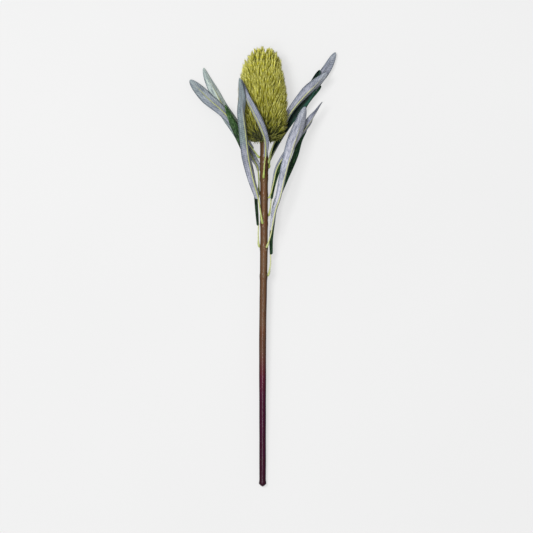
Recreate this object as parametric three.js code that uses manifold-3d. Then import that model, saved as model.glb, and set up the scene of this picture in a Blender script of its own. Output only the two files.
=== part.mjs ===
// A cut banksia stem with one flower head and twelve strap leaves, lying on a flat surface.
// Millimetres. +Y runs from the cut end to the head, +Z is up and the surface is z = 0.
import * as THREE from "three";
import Module from "manifold-3d";

const wasm = await Module();
wasm.setup();

// Driving dimensions of the stem
const CUT_END_Y = -310;
const HEAD_BASE_Y = 174;
const STEM_RADIUS_CUT = 4.6;
const STEM_RADIUS_TOP = 5.6;
const END_BULB_RADIUS = 5.2;
const END_CONE_LENGTH = 4;
const END_PROFILE = [[0, 0.12], [0.6, 0.75], [1, 1], [1.6, 0.97]];
const NECK_LENGTH = 7;
const STEM_SIDES = 12;
const STEM_STEP = 26;
const CLOSEST_RINGS = 1.5;
const STEM_END_X = -0.4;
const STEM_SWAY = 2;
const SWAY_START_Y = -120;
const SWAY_END_Y = 60;
const SWELLING_HEIGHT = 0.5;
const SWELLING_REACH = 4;

// Driving dimensions of the flower head
const HEAD_LENGTH = 136;
const HEAD_RADIUS = 35.6;
const HEAD_WIDEST = 0.25;
const HEAD_BLUNTNESS = 4;
const HEAD_ROUNDNESS = 3;
const HEAD_AXIS_X = 0.6;
const HEAD_AXIS_Z = 32.2;
const HEAD_LEAN_X = -2.2;
const HEAD_LEAN_Z = 2.8;
const CORE_START = 4;
const CORE_DEPTH = 11.5;
const CORE_SIDES = 14;
const CORE_RINGS = 8;
const CORE_CROWDING = 1.5;
const CORE_TOP_RADIUS = 6;
const CORE_FLAT_SHARE = 0.96;
const NEEDLES = 950;
const LONGEST_NEEDLE = 40;
const SHORTEST_NEEDLE = 7;
const ROOT_DEPTH = 1.2;
const NEEDLE_RADIUS = 1.35;
const NEEDLE_SEED = 7;
const ANGLE_SCATTER = 0.12;
const LEAN_SCATTER = 0.2;
const TIP_SCATTER = 1.6;
const LEAN_AT_BASE = -0.3;
const LEAN_ON_SIDES = 0.85;
const LEAN_AT_TOP = 1.45;
const LEAN_SIDES_SHARE = 0.7;
const LEAN_TOP_SHARE = 0.75;
const AREA_STEPS = 400;
const PROBE_START = 6;
const ROOT_PROBE_STEP = 0.5;
const SOCKET_DEPTH = 22;
const SOCKET_MOUTH = 10;
const SURFACE_BLOCK = [200, 200, 20];

// Clearances and leaf construction
const GAP = 0.3;
const LEAF_CLEARANCE = 1.8;
const PROBE_STEPS = 60;
const PROBE_COLUMNS = 3;
const STEM_PROBES = { below: 40, above: 6, step: 2 };
const BLADE_THICKNESS = 0.7;
const BLADE_STEPS = 15;
const BLADE_COLUMNS = 4;
const TIP_CROWDING = 1.6;
const WIDENING_POWER = 0.9;
const TIP_WIDTH_SHARE = 0.08;
const EDGE_WAVE = 0.7;
const WAVE_ALONG = 9;
const WAVE_ACROSS = 2;
const RIB_SIDES = 5;
const STALK_SHARES = [-1, -0.94, -0.72, -0.45, -0.2];
const FOOT_RADIUS = 1.7;
const FOOT_ROUNDING = 0.6;
const FOOT_SWELLING = [0.55, 0.95];
const RIDGE_START = -0.45;
const STALK_RADIUS = 0.95;
const RIB_TIP_RADIUS = 0.45;
const RIB_END = 0.93;

const UP = new THREE.Vector3(0, 0, 1);
const RIGHT = new THREE.Vector3(1, 0, 0);
const GOLDEN_ANGLE = Math.PI * (3 - Math.sqrt(5));

const COLOURS = {
  lavender: 0x9c9db0,
  mint: 0x9db5ad,
  green: 0x23472f,
  rib: 0xa9b45a,
  stem: 0x6b523c,
  head: 0xa6a83a,
};
const ROUGHNESS = { lavender: 0.85, mint: 0.85, green: 0.8, rib: 0.6, stem: 0.5, head: 0.8 };

// Each leaf: where its stalk leaves the stem (foot is a height y and a turn round the stem in
// degrees, 0 on top, positive to the right), the points that its midrib passes, the length of its
// stalk, the full width of its blade, the share of it at the stalk and where all of it is reached,
// the angle each half folds back by, the roll of the blade along its length in degrees, and the
// face that is seen from above.
const LEAVES = [
  {
    name: "leaf_front_left",
    foot: [60, -18],
    points: [[-6.6, 95, 38], [-14.1, 122, 47.6], [-20.8, 153, 58], [-25.2, 190, 70],
      [-28, 214, 76], [-30, 242, 80], [-32.4, 263.6, 79]],
    stalk: 36, width: 19, base: 0.5, widest: 0.36, fold: 36,
    roll: [[0, 20], [0.6, 42], [0.68, 42], [0.86, -8], [1, -8]],
    seen: "under", colour: "mint",
  },
  {
    name: "leaf_front_right",
    foot: [124, -6],
    points: [[2.5, 146, 45], [3.9, 157, 52], [3.6, 176, 65], [-3.1, 196, 76],
      [-13.5, 217, 79], [-24, 238, 72], [-31.5, 263, 65]],
    stalk: 32, width: 15, base: 0.4, widest: 0.5, fold: 38, roll: [[0, 0], [0.25, -36], [1, -36]],
    seen: "under", colour: "lavender",
  },
  {
    name: "leaf_left_low",
    foot: [153, -92],
    points: [[-20.4, 175, 27], [-33, 190.5, 23], [-55.2, 217.3, 19.5], [-76.9, 236.7, 16.5],
      [-90.1, 250.3, 13], [-102.9, 263.8, 6.5]],
    stalk: 15, width: 18.2, base: 0.25, widest: 0.72, fold: 16, roll: [[0, -30], [0.4, 10], [1, 14]],
    seen: "under", colour: "lavender",
  },
  {
    name: "leaf_left_high",
    foot: [101, -104],
    points: [[-6.8, 139.3, 22.8], [-12.8, 151.4, 18.5], [-21.6, 166.2, 14.5], [-40, 199.7, 10],
      [-57.8, 228.8, 9.6], [-67.4, 247.5, 9.4], [-77.4, 266.2, 7], [-83.6, 280.8, 4]],
    stalk: 34, width: 20.4, base: 0.36, widest: 0.5, fold: 26,
    roll: [[0, -30], [0.4, 10], [0.65, 27], [1, 27]],
    seen: "under", colour: "mint",
  },
  {
    name: "leaf_left_green",
    foot: [27, -94],
    points: [[-7, 57.5, 23.5], [-8.2, 83, 24.5], [-9.6, 108, 26], [-14.6, 136, 28],
      [-25.8, 168.7, 28.7], [-36, 192.6, 29], [-46, 214, 25.5], [-53, 228, 21]],
    stalk: 31, width: 15, base: 0.3, widest: 0.72, fold: 28, roll: [[0, -50], [1, -40]],
    seen: "top", colour: "green",
  },
  {
    name: "leaf_right_far",
    foot: [128, 150],
    points: [[10, 150, 17], [17, 166, 12], [25, 181, 10], [36, 199.5, 10.5],
      [59.5, 236.5, 11.5], [78.5, 262.5, 10.5], [91, 280.5, 8.5], [102.5, 302.5, 6]],
    stalk: 24, width: 13.3, base: 0.22, widest: 0.8, fold: 9, roll: [[0, 10], [0.5, 4], [1, 0]],
    seen: "under", colour: "lavender",
  },
  {
    name: "leaf_right_dark",
    foot: [138, 104],
    points: [[10.7, 156, 24], [17, 171, 18], [25, 184, 16], [34.8, 200.3, 15.5],
      [46.4, 217.9, 16.5], [63.2, 241.4, 18], [80.2, 277.4, 15]],
    stalk: 19, width: 14.5, base: 0.3, widest: 0.62, fold: 16, roll: [[0, 16], [1, 6]],
    seen: "top", colour: "green",
  },
  {
    name: "leaf_right_lavender",
    foot: [145, 72],
    points: [[10.7, 158, 31], [15.5, 173, 26], [25.5, 191, 22], [37, 214, 27],
      [57.2, 239, 30.5], [77, 258.5, 31], [90.3, 273, 28]],
    stalk: 50, width: 19.2, base: 0.4, widest: 0.62, fold: 36,
    roll: [[0, 20], [0.35, 34], [0.7, 34], [1, 6]],
    seen: "under", colour: "lavender",
  },
  {
    name: "leaf_right_green",
    foot: [71, 100],
    points: [[12.2, 95.5, 22], [14.9, 112.5, 20.5], [19.1, 129, 19], [25, 145.7, 17],
      [38.3, 170.3, 9], [48.8, 198.4, 3.8], [55.4, 226.8, 2.8], [65, 240.4, 2.7], [82.3, 255.6, 2.6]],
    stalk: 25, width: 13.6, base: 0.26, widest: 0.78, fold: 14, roll: [[0, 20], [1, 4]],
    seen: "top", colour: "green",
  },
  {
    name: "leaf_large_lavender",
    foot: [26.5, 35],
    points: [[10.7, 44, 32.5], [12.7, 56, 35], [17.6, 80, 39.5], [23.5, 97.5, 43],
      [30.1, 125.5, 47], [36.9, 151, 49], [43.2, 171, 49], [51.4, 194, 47], [59.6, 224.6, 41]],
    stalk: 25, width: 24, base: 0.24, widest: 0.76, fold: 42,
    roll: [[0, 14], [0.3, 28], [0.6, 42], [0.85, 14], [1, 12]],
    seen: "under", colour: "lavender",
  },
  {
    name: "leaf_curled_grey",
    foot: [96.3, 76],
    points: [[10.8, 103, 31], [14.6, 118.8, 33], [18.9, 137, 34], [26.3, 151, 34],
      [50.8, 183.5, 32], [61.4, 196.8, 30], [69.4, 208.2, 28], [83.9, 232.2, 24]],
    stalk: 9, width: 13.8, base: 0.1, widest: 0.72, fold: 34,
    roll: [[0, 30], [0.76, 34], [0.9, 84], [1, 90]],
    seen: "under", colour: "lavender",
  },
  {
    name: "leaf_low_green",
    foot: [-13.5, 96],
    points: [[10.7, 4.5, 19.5], [11.3, 17, 18.5], [11, 37.7, 18], [12.6, 59, 18],
      [16.4, 87, 17], [30.4, 123.5, 14.5], [44.2, 157, 11.5], [51.6, 179, 9], [62.1, 194.7, 6.5]],
    stalk: 31, width: 13.5, base: 0.42, widest: 0.66, fold: 24, roll: [[0, 34], [0.5, 48], [1, 40]],
    seen: "top", colour: "green",
  },
];

// A small seeded generator, so that every build draws the same numbers.
function seeded(seed) {
  let state = seed;
  return () => {
    state = (state * 1664525 + 1013904223) % 4294967296;
    return state / 4294967296;
  };
}

// A closed mesh from points and triangles, turned so that its faces point out.
function closedGeometry(points, triangles) {
  const cross = new THREE.Vector3();
  let volume = 0;
  for (const [a, b, c] of triangles)
    volume += points[a].dot(cross.crossVectors(points[b], points[c]));
  const geometry = new THREE.BufferGeometry().setFromPoints(points);
  geometry.setIndex(triangles.flatMap(([a, b, c]) => (volume < 0 ? [a, c, b] : [a, b, c])));
  geometry.computeVertexNormals();
  return geometry;
}

// Joins rings of equal length into a closed skin, with a fan of triangles over each end.
function loft(rings) {
  const sides = rings[0].length;
  const points = rings.flat();
  const triangles = [];
  for (let i = 0; i + 1 < rings.length; i++)
    for (let k = 0; k < sides; k++) {
      const [a, b] = [i * sides + k, i * sides + ((k + 1) % sides)];
      triangles.push([a, b, b + sides], [a, b + sides, a + sides]);
    }
  for (const end of [0, rings.length - 1]) {
    const middle = rings[end].reduce((sum, p) => sum.add(p), new THREE.Vector3());
    const hub = points.push(middle.divideScalar(sides)) - 1;
    for (let k = 0; k < sides; k++) {
      const [a, b] = [end * sides + k, end * sides + ((k + 1) % sides)];
      triangles.push(end === 0 ? [hub, b, a] : [hub, a, b]);
    }
  }
  return closedGeometry(points, triangles);
}

// A circle of points round a centre, in the plane of two unit vectors, that starts at a turn.
function circle(centre, radius, across, upward, sides, turn = 0) {
  return Array.from({ length: sides }, (_, k) => {
    const angle = turn + (2 * Math.PI * k) / sides;
    return centre.clone()
      .addScaledVector(across, radius * Math.cos(angle))
      .addScaledVector(upward, radius * Math.sin(angle));
  });
}

function toSolid(geometry) {
  return new wasm.Manifold(new wasm.Mesh({
    numProp: 3,
    vertProperties: new Float32Array(geometry.getAttribute("position").array),
    triVerts: new Uint32Array(geometry.index.array),
  }));
}

function fromSolid(solid) {
  const { numProp, vertProperties, triVerts } = solid.getMesh();
  const points = [];
  for (let i = 0; i < vertProperties.length; i += numProp)
    points.push(new THREE.Vector3(...vertProperties.subarray(i, i + 3)));
  const geometry = new THREE.BufferGeometry().setFromPoints(points);
  geometry.setIndex([...triVerts]);
  geometry.computeVertexNormals();
  return geometry;
}

function namedMesh(name, geometry, colour) {
  const material = new THREE.MeshStandardMaterial({
    color: COLOURS[colour], roughness: ROUGHNESS[colour], metalness: 0,
  });
  const mesh = new THREE.Mesh(geometry, material);
  mesh.name = name;
  return mesh;
}

// The stem's axis at a height: it rises evenly from the cut end on the surface into the head,
// and sways a little to the right on its way.
function stemAxis(y) {
  const share = (y - CUT_END_Y) / (HEAD_BASE_Y - CUT_END_Y);
  const sway = THREE.MathUtils.smoothstep(y, SWAY_START_Y, SWAY_END_Y);
  const z = THREE.MathUtils.lerp(END_BULB_RADIUS, HEAD_AXIS_Z, share);
  return new THREE.Vector3(STEM_END_X + STEM_SWAY * sway, y, z);
}

// The stem's radius at a height: an even taper, with a low swelling at the foot of each leaf.
function stemRadius(y) {
  const share = (y - CUT_END_Y) / (HEAD_BASE_Y - CUT_END_Y);
  const swelling = LEAVES.map(({ foot }) => Math.exp(-(((y - foot[0]) / SWELLING_REACH) ** 2)));
  return THREE.MathUtils.lerp(STEM_RADIUS_CUT, STEM_RADIUS_TOP, share) +
    SWELLING_HEIGHT * Math.max(...swelling);
}

function stemGeometry() {
  const top = HEAD_BASE_Y + SOCKET_DEPTH - GAP;
  const coneY = CUT_END_Y + END_CONE_LENGTH;
  const stations = END_PROFILE.map(([along, wide]) =>
    [CUT_END_Y + END_CONE_LENGTH * along, END_BULB_RADIUS * wide]);
  const heights = [];
  for (let y = coneY + NECK_LENGTH; y < top - STEM_STEP / 2; y += STEM_STEP) heights.push(y);
  for (const { foot } of LEAVES)
    heights.push(foot[0] - SWELLING_REACH, foot[0], foot[0] + SWELLING_REACH);
  heights.push(top);
  heights.sort((a, b) => a - b);
  for (const y of heights)
    if (y - stations.at(-1)[0] > CLOSEST_RINGS) stations.push([y, stemRadius(y)]);
  return loft(stations.map(([y, radius]) => circle(stemAxis(y), radius, RIGHT, UP, STEM_SIDES)));
}

// A leaf's midrib: a curve from its foot on the stem to its tip, with a frame at each share of
// its length. Across points to the right, and outward is the normal of the blade's underside.
// The foot's own lean from the stem is allowed for, so that its swelling lies the gap away.
class Midrib {
  constructor(leaf) {
    const [y, turn] = leaf.foot;
    const angle = THREE.MathUtils.degToRad(turn);
    this.leaf = leaf;
    this.away = new THREE.Vector3(Math.sin(angle), 0, Math.cos(angle));
    const points = leaf.points.map((point) => new THREE.Vector3(...point));
    const from = (reach) => new THREE.CatmullRomCurve3([
      stemAxis(y).addScaledVector(this.away, stemRadius(y) + GAP + reach), ...points,
    ]);
    const flat = FOOT_RADIUS * Math.cos(Math.PI / RIB_SIDES);
    const lean = from(flat).getTangentAt(0).dot(this.away);
    const swellingStart = leaf.stalk * (1 + STALK_SHARES[1]);
    this.curve = from(flat * Math.sqrt(1 - lean ** 2) - swellingStart * lean);
    this.bladeStart = leaf.stalk / this.curve.getLength();
  }

  // The roll at a share of the blade, eased from one stated roll to the next.
  roll(share) {
    const rolls = this.leaf.roll;
    let value = rolls[0][1];
    for (let i = 1; i < rolls.length; i++) {
      const [from, to] = [rolls[i - 1], rolls[i]];
      value += (to[1] - from[1]) * THREE.MathUtils.smoothstep(share, from[0], to[0]);
    }
    return THREE.MathUtils.degToRad(value);
  }

  // The frame at a share of the blade; a share below 0 is on the stalk, with -1 at the foot.
  frame(share) {
    const along = share < 0
      ? this.bladeStart * (1 + share)
      : this.bladeStart + (1 - this.bladeStart) * share;
    const centre = this.curve.getPointAt(along);
    const tangent = this.curve.getTangentAt(along);
    const side = new THREE.Vector3().crossVectors(tangent, UP).normalize();
    const above = new THREE.Vector3().crossVectors(side, tangent);
    const roll = this.roll(Math.max(share, 0));
    const across = side.clone().multiplyScalar(Math.cos(roll)).addScaledVector(above, -Math.sin(roll));
    const normal = side.multiplyScalar(Math.sin(roll)).addScaledVector(above, Math.cos(roll));
    if (this.leaf.seen === "top") normal.negate();
    return { centre, across, outward: normal };
  }

  // Half the blade's width: it widens slowly from the stalk and closes in a rounded tip.
  halfWidth(share) {
    const { width, base, widest } = this.leaf;
    const rising = base + (1 - base) * Math.min(share / widest, 1) ** WIDENING_POWER;
    const closing = Math.max(share - widest, 0) / (1 - widest);
    return (width / 2) * rising * Math.max(Math.sqrt(1 - closing ** 2), TIP_WIDTH_SHARE);
  }

  // A point of the blade's middle surface. Side runs from -1 to 1 across the blade: each half
  // folds away from the underside, and the edges wave a little.
  surface(share, side) {
    const { centre, across, outward } = this.frame(share);
    const fold = THREE.MathUtils.degToRad(this.leaf.fold);
    const reach = this.halfWidth(share) * side;
    const phase = WAVE_ALONG * share + WAVE_ACROSS * side;
    const wave = EDGE_WAVE * side ** 2 * Math.sin(phase) * Math.sin(Math.PI * share);
    return centre
      .addScaledVector(across, reach * Math.cos(fold))
      .addScaledVector(outward, wave - Math.abs(reach) * Math.sin(fold));
  }

  // The rib's centre and radius: down the stalk, then along the ridge of the blade's underside.
  rib(share) {
    const { centre, across, outward } = this.frame(share);
    const fold = THREE.MathUtils.degToRad(this.leaf.fold);
    const slim = THREE.MathUtils.lerp(STALK_RADIUS, RIB_TIP_RADIUS, Math.max(share, 0));
    const swollen = (FOOT_RADIUS - STALK_RADIUS) * THREE.MathUtils.smoothstep(-share, ...FOOT_SWELLING);
    const rounded = share === STALK_SHARES[0] ? FOOT_ROUNDING : 1;
    const lift = BLADE_THICKNESS / 2 / Math.cos(fold) + GAP + slim;
    const rise = THREE.MathUtils.smoothstep(share, RIDGE_START, 0);
    const radius = (slim + swollen) * rounded;
    return { centre: centre.addScaledVector(outward, lift * rise), radius, across, outward };
  }
}

// Shares along the blade, closer together at the rounded tip.
const BLADE_SHARES = Array.from(
  { length: BLADE_STEPS + 1 },
  (_, i) => 1 - (1 - i / BLADE_STEPS) ** TIP_CROWDING,
);

// A blade: the middle surface thickened both ways, with the same triangles on both faces.
function bladeGeometry(midrib) {
  const fold = THREE.MathUtils.degToRad(midrib.leaf.fold);
  const half = BLADE_THICKNESS / 2 / Math.cos(fold);
  const columns = BLADE_COLUMNS + 1;
  const faces = [1, -1].map((direction) => BLADE_SHARES.flatMap((share) => {
    const { outward } = midrib.frame(share);
    return Array.from({ length: columns }, (_, j) =>
      midrib.surface(share, (2 * j) / BLADE_COLUMNS - 1).addScaledVector(outward, half * direction));
  }));
  const under = faces[0].length;
  const at = (i, j) => i * columns + j;
  const triangles = [];
  const quad = (a, b, c, d) => triangles.push([a, b, c], [a, c, d]);
  for (let i = 0; i < BLADE_STEPS; i++)
    for (let j = 0; j < BLADE_COLUMNS; j++) {
      const [a, b, c, d] = [at(i, j), at(i, j + 1), at(i + 1, j + 1), at(i + 1, j)];
      quad(a, b, c, d);
      triangles.push([under + a, under + c, under + b], [under + a, under + d, under + c]);
    }
  for (let i = 0; i < BLADE_STEPS; i++) {
    const [left, leftNext] = [at(i, 0), at(i + 1, 0)];
    const [right, rightNext] = [at(i, BLADE_COLUMNS), at(i + 1, BLADE_COLUMNS)];
    quad(left, leftNext, under + leftNext, under + left);
    quad(rightNext, right, under + right, under + rightNext);
  }
  for (let j = 0; j < BLADE_COLUMNS; j++) {
    const [start, startNext] = [at(0, j), at(0, j + 1)];
    const [end, endNext] = [at(BLADE_STEPS, j), at(BLADE_STEPS, j + 1)];
    quad(startNext, start, under + start, under + startNext);
    quad(end, endNext, under + endNext, under + end);
  }
  return closedGeometry(faces.flat(), triangles);
}

// A rib, turned so that a flat side of its foot faces the stem.
function ribGeometry(midrib) {
  const foot = midrib.frame(-1);
  const facing = Math.atan2(-midrib.away.dot(foot.outward), -midrib.away.dot(foot.across));
  const turn = facing + Math.PI / RIB_SIDES;
  const shares = [...STALK_SHARES, ...BLADE_SHARES.filter((share) => share < RIB_END)];
  return loft(shares.map((share) => {
    const { centre, radius, across, outward } = midrib.rib(share);
    return circle(centre, radius, across, outward, RIB_SIDES, turn);
  }));
}

// The head's axis, and the radius that its bristles reach at a share of its length: blunt at the
// base, widest a quarter of the way up, and rounded towards the top.
const HEAD_BASE = new THREE.Vector3(HEAD_AXIS_X, HEAD_BASE_Y, HEAD_AXIS_Z);
const HEAD_AXIS = new THREE.Vector3(HEAD_LEAN_X, HEAD_LENGTH, HEAD_LEAN_Z).normalize();
const HEAD_ACROSS = new THREE.Vector3().crossVectors(HEAD_AXIS, UP).normalize();
const HEAD_ABOVE = new THREE.Vector3().crossVectors(HEAD_ACROSS, HEAD_AXIS);

function headRadius(share) {
  const below = Math.max(HEAD_WIDEST - share, 0) / HEAD_WIDEST;
  const over = Math.max(share - HEAD_WIDEST, 0) / (1 - HEAD_WIDEST);
  const base = Math.max(1 - below ** HEAD_BLUNTNESS, 0);
  const top = Math.max(1 - over ** HEAD_ROUNDNESS, 0);
  return HEAD_RADIUS * Math.sqrt(base * top);
}

function headPoint(share, radius, angle) {
  return HEAD_BASE.clone()
    .addScaledVector(HEAD_AXIS, share * HEAD_LENGTH)
    .addScaledVector(HEAD_ACROSS, radius * Math.cos(angle))
    .addScaledVector(HEAD_ABOVE, radius * Math.sin(angle));
}

// The shares of the head's length where the core starts and ends, and its radius at a share.
const CORE_SHARES = [CORE_START / HEAD_LENGTH, 1 - CORE_DEPTH / HEAD_LENGTH];

function coreRadius(share) {
  return Math.max(headRadius(share) - CORE_DEPTH, CORE_TOP_RADIUS);
}

function coreGeometry() {
  return loft(Array.from({ length: CORE_RINGS + 1 }, (_, i) => {
    const share = THREE.MathUtils.lerp(...CORE_SHARES, (i / CORE_RINGS) ** CORE_CROWDING);
    return circle(headPoint(share, 0, 0), coreRadius(share), HEAD_ACROSS, HEAD_ABOVE, CORE_SIDES);
  }));
}

// How long a bristle is from its tip back to a root that is sunk well into the core.
function rootedLength(tip, direction) {
  const probe = new THREE.Vector3();
  for (let length = PROBE_START; length < LONGEST_NEEDLE; length += ROOT_PROBE_STEP) {
    probe.copy(tip).addScaledVector(direction, -length).sub(HEAD_BASE);
    const along = probe.dot(HEAD_AXIS);
    const share = along / HEAD_LENGTH;
    const radius = Math.sqrt(probe.lengthSq() - along * along);
    const inside = share > CORE_SHARES[0] && share < CORE_SHARES[1];
    if (inside && radius < coreRadius(share) * CORE_FLAT_SHARE - ROOT_DEPTH) return length;
  }
  return 0;
}

// Points on every leaf and on the stem, each with the distance that a bristle keeps from it.
function obstacles(midribs) {
  const list = [];
  for (const midrib of midribs)
    for (let i = 0; i <= PROBE_STEPS; i++) {
      const share = i / PROBE_STEPS;
      for (let j = -PROBE_COLUMNS; j <= PROBE_COLUMNS; j++)
        list.push([midrib.surface(share, j / PROBE_COLUMNS), LEAF_CLEARANCE]);
      const rib = midrib.rib(share - (i % 2));
      list.push([rib.centre, LEAF_CLEARANCE + rib.radius]);
    }
  const { below, above, step } = STEM_PROBES;
  for (let y = HEAD_BASE_Y - below; y < HEAD_BASE_Y + above; y += step)
    list.push([stemAxis(y), STEM_RADIUS_TOP + LEAF_CLEARANCE]);
  return list;
}

// How far up a bristle from root to tip stays clear of everything round it.
function clearLength(root, direction, length, around) {
  const near = around.filter(([point, distance]) => point.distanceTo(root) < length + distance);
  const probe = new THREE.Vector3();
  for (let reach = PROBE_START; reach <= length; reach += 1) {
    probe.copy(root).addScaledVector(direction, reach);
    if (near.some(([point, distance]) => point.distanceTo(probe) < distance)) return reach - 1;
  }
  return length;
}

// A three-sided bristle with its root sunk in the core and a fine blunt tip.
function bristle(root, direction, length, turn) {
  const across = new THREE.Vector3().crossVectors(direction, HEAD_AXIS);
  if (across.lengthSq() < 1e-4) across.copy(HEAD_ACROSS);
  across.normalize().applyAxisAngle(direction, turn);
  const upward = new THREE.Vector3().crossVectors(across, direction);
  const tip = root.clone().addScaledVector(direction, length);
  const ring = circle(root, NEEDLE_RADIUS, across, upward, 3);
  return closedGeometry([...ring, tip], [[0, 1, 2], [0, 3, 1], [1, 3, 2], [2, 3, 0]]);
}

// The head: bristles set on a spiral round the core, leaning out at the base and up at the top.
// They stop short of the leaves and of the stem, and are pressed flat on the surface below.
function headGeometry(midribs) {
  const random = seeded(NEEDLE_SEED);
  const around = obstacles(midribs);
  const pieces = [toSolid(coreGeometry())];
  const shares = evenShares(NEEDLES);
  shares.forEach((share, i) => {
    const angle = i * GOLDEN_ANGLE + ANGLE_SCATTER * (random() - 0.5);
    const lean = bristleLean(share) + LEAN_SCATTER * (random() - 0.5);
    const out = headPoint(0, 1, angle).sub(HEAD_BASE);
    const direction = out.multiplyScalar(Math.cos(lean)).addScaledVector(HEAD_AXIS, Math.sin(lean));
    const tip = headPoint(share, headRadius(share) - TIP_SCATTER * random(), angle);
    const whole = rootedLength(tip, direction);
    const root = tip.clone().addScaledVector(direction, -whole);
    const length = clearLength(root, direction, whole, around);
    const turn = random() * Math.PI;
    if (length > SHORTEST_NEEDLE) pieces.push(toSolid(bristle(root, direction, length, turn)));
  });
  const joined = wasm.Manifold.union(pieces);
  const socketRings = [HEAD_BASE_Y - SOCKET_MOUTH, HEAD_BASE_Y + SOCKET_DEPTH].map((y) =>
    circle(stemAxis(y), STEM_RADIUS_TOP + 2 * GAP, RIGHT, UP, STEM_SIDES));
  const hollowed = joined.subtract(toSolid(loft(socketRings)));
  const surface = new THREE.BoxGeometry(...SURFACE_BLOCK)
    .translate(0, HEAD_BASE_Y + HEAD_LENGTH / 2, -SURFACE_BLOCK[2] / 2);
  const pressed = hollowed.subtract(toSolid(boxWithSharedCorners(surface)));
  const bodies = pressed.decompose().sort((a, b) => b.volume() - a.volume());
  return fromSolid(bodies[0]);
}

// Shares of the head's length with the same area of its surface between each two.
function evenShares(count) {
  const steps = AREA_STEPS;
  const sums = [0];
  for (let i = 0; i < steps; i++) {
    const slope = (headRadius((i + 1) / steps) - headRadius(i / steps)) * steps;
    sums.push(sums[i] + headRadius((i + 0.5) / steps) * Math.hypot(HEAD_LENGTH, slope));
  }
  let at = 0;
  return Array.from({ length: count }, (_, k) => {
    const wanted = ((k + 0.5) / count) * sums[steps];
    while (sums[at + 1] < wanted) at++;
    return (at + (wanted - sums[at]) / (sums[at + 1] - sums[at])) / steps;
  });
}

// How steeply a bristle leans from straight out towards the top of the head, in radians: it hangs
// a little at the base, leans up along the sides and stands up at the top.
function bristleLean(share) {
  const risen = Math.sin((Math.PI / 2) * Math.min(share / LEAN_SIDES_SHARE, 1));
  const sides = THREE.MathUtils.lerp(LEAN_AT_BASE, LEAN_ON_SIDES, risen);
  const standing = THREE.MathUtils.smoothstep(share, LEAN_TOP_SHARE, 1);
  return THREE.MathUtils.lerp(sides, LEAN_AT_TOP, standing);
}

function boxWithSharedCorners(box) {
  const index = new Map();
  const points = [];
  const position = box.getAttribute("position");
  const shared = [...box.index.array].map((i) => {
    const point = new THREE.Vector3().fromBufferAttribute(position, i);
    const key = point.toArray().join();
    if (!index.has(key)) index.set(key, points.push(point) - 1);
    return index.get(key);
  });
  return new THREE.BufferGeometry().setFromPoints(points).setIndex(shared);
}

const flower = new THREE.Group();
const leaves = new THREE.Group();
const midribs = LEAVES.map((leaf) => new Midrib(leaf));
for (const midrib of midribs) {
  const { name, colour } = midrib.leaf;
  leaves.add(namedMesh(name, bladeGeometry(midrib), colour));
  leaves.add(namedMesh(name + "_rib", ribGeometry(midrib), "rib"));
}
flower.add(namedMesh("stem", stemGeometry(), "stem"));
flower.add(namedMesh("flower_head", headGeometry(midribs), "head"));
flower.add(leaves);

export default flower;
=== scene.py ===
# %% [markdown]
# # A cut banksia stem, seen from straight above
#
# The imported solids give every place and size: a bare stem, a brush-like flower head and twelve
# folded strap leaves. This lesson dresses them. It repeats the few formulas that shaped the solids,
# so that each finer piece lies exactly where its solid does, and it adds what solids leave out:
# thousands of bristles, felted leaf undersides, veins, ribs that grow out of the blade, and colour.
# Lengths are in millimetres until a mesh is made, and in metres from then on.

# %% Load the frame and the tools
import math

import bpy
import numpy as np
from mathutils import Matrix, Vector


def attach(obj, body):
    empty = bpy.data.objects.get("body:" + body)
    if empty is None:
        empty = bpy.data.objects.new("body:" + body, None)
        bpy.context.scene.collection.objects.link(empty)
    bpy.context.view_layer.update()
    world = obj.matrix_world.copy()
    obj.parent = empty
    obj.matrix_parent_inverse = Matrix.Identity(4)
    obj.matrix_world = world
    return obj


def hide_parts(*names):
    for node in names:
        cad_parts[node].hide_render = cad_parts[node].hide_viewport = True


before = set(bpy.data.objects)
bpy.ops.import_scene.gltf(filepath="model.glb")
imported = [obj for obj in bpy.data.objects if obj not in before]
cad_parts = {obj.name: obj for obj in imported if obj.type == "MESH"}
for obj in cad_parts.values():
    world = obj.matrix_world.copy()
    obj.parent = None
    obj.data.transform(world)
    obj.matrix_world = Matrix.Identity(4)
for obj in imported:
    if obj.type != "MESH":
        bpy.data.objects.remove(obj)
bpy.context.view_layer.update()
print("nodes:", len(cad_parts))

# %% [markdown]
# ## Names for the sizes
#
# The sizes are those of the solids. Y runs from the cut end to the head, Z is up, and the surface
# that the stem lies on is z = 0. A size that has a name can be changed in one place, and the
# formulas below can be read without guessing what a number means.

# %% Sizes of the stem, the head and the leaves
MM = 0.001
UP = np.array([0.0, 0.0, 1.0])
GOLDEN_ANGLE = math.pi * (3 - math.sqrt(5))

CUT_END_Y = -310
HEAD_BASE_Y = 174
STEM_RADIUS_CUT = 4.6
STEM_RADIUS_TOP = 5.6
END_BULB_RADIUS = 5.2
END_CONE_LENGTH = 4
STEM_END_X = -0.4
STEM_SWAY = 2
SWAY_START_Y = -120
SWAY_END_Y = 60
SWELLING_HEIGHT = 0.5
SWELLING_REACH = 4
SOCKET_DEPTH = 22

HEAD_LENGTH = 136
HEAD_RADIUS = 35.6
HEAD_WIDEST = 0.25
HEAD_AXIS_X = 0.6
HEAD_AXIS_Z = 32.2
HEAD_LEAN_X = -2.2
HEAD_LEAN_Z = 2.8
CORE_START = 4
CORE_DEPTH = 11.5
CORE_TOP_RADIUS = 6

GAP = 0.3
SOLID_BLADE_THICKNESS = 0.7
EDGE_WAVE = 0.7
FOLD_ROUNDING = 0.5
TIP_WIDTH_SHARE = 0.03
FOOT_RADIUS = 1.7
STALK_RADIUS = 0.95
RIB_TIP_RADIUS = 0.45
SOLID_RIB_SIDES = 5
SOLID_SWELLING_START = 0.06
print("whole length:", HEAD_BASE_Y + HEAD_LENGTH - CUT_END_Y, "mm")

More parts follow.
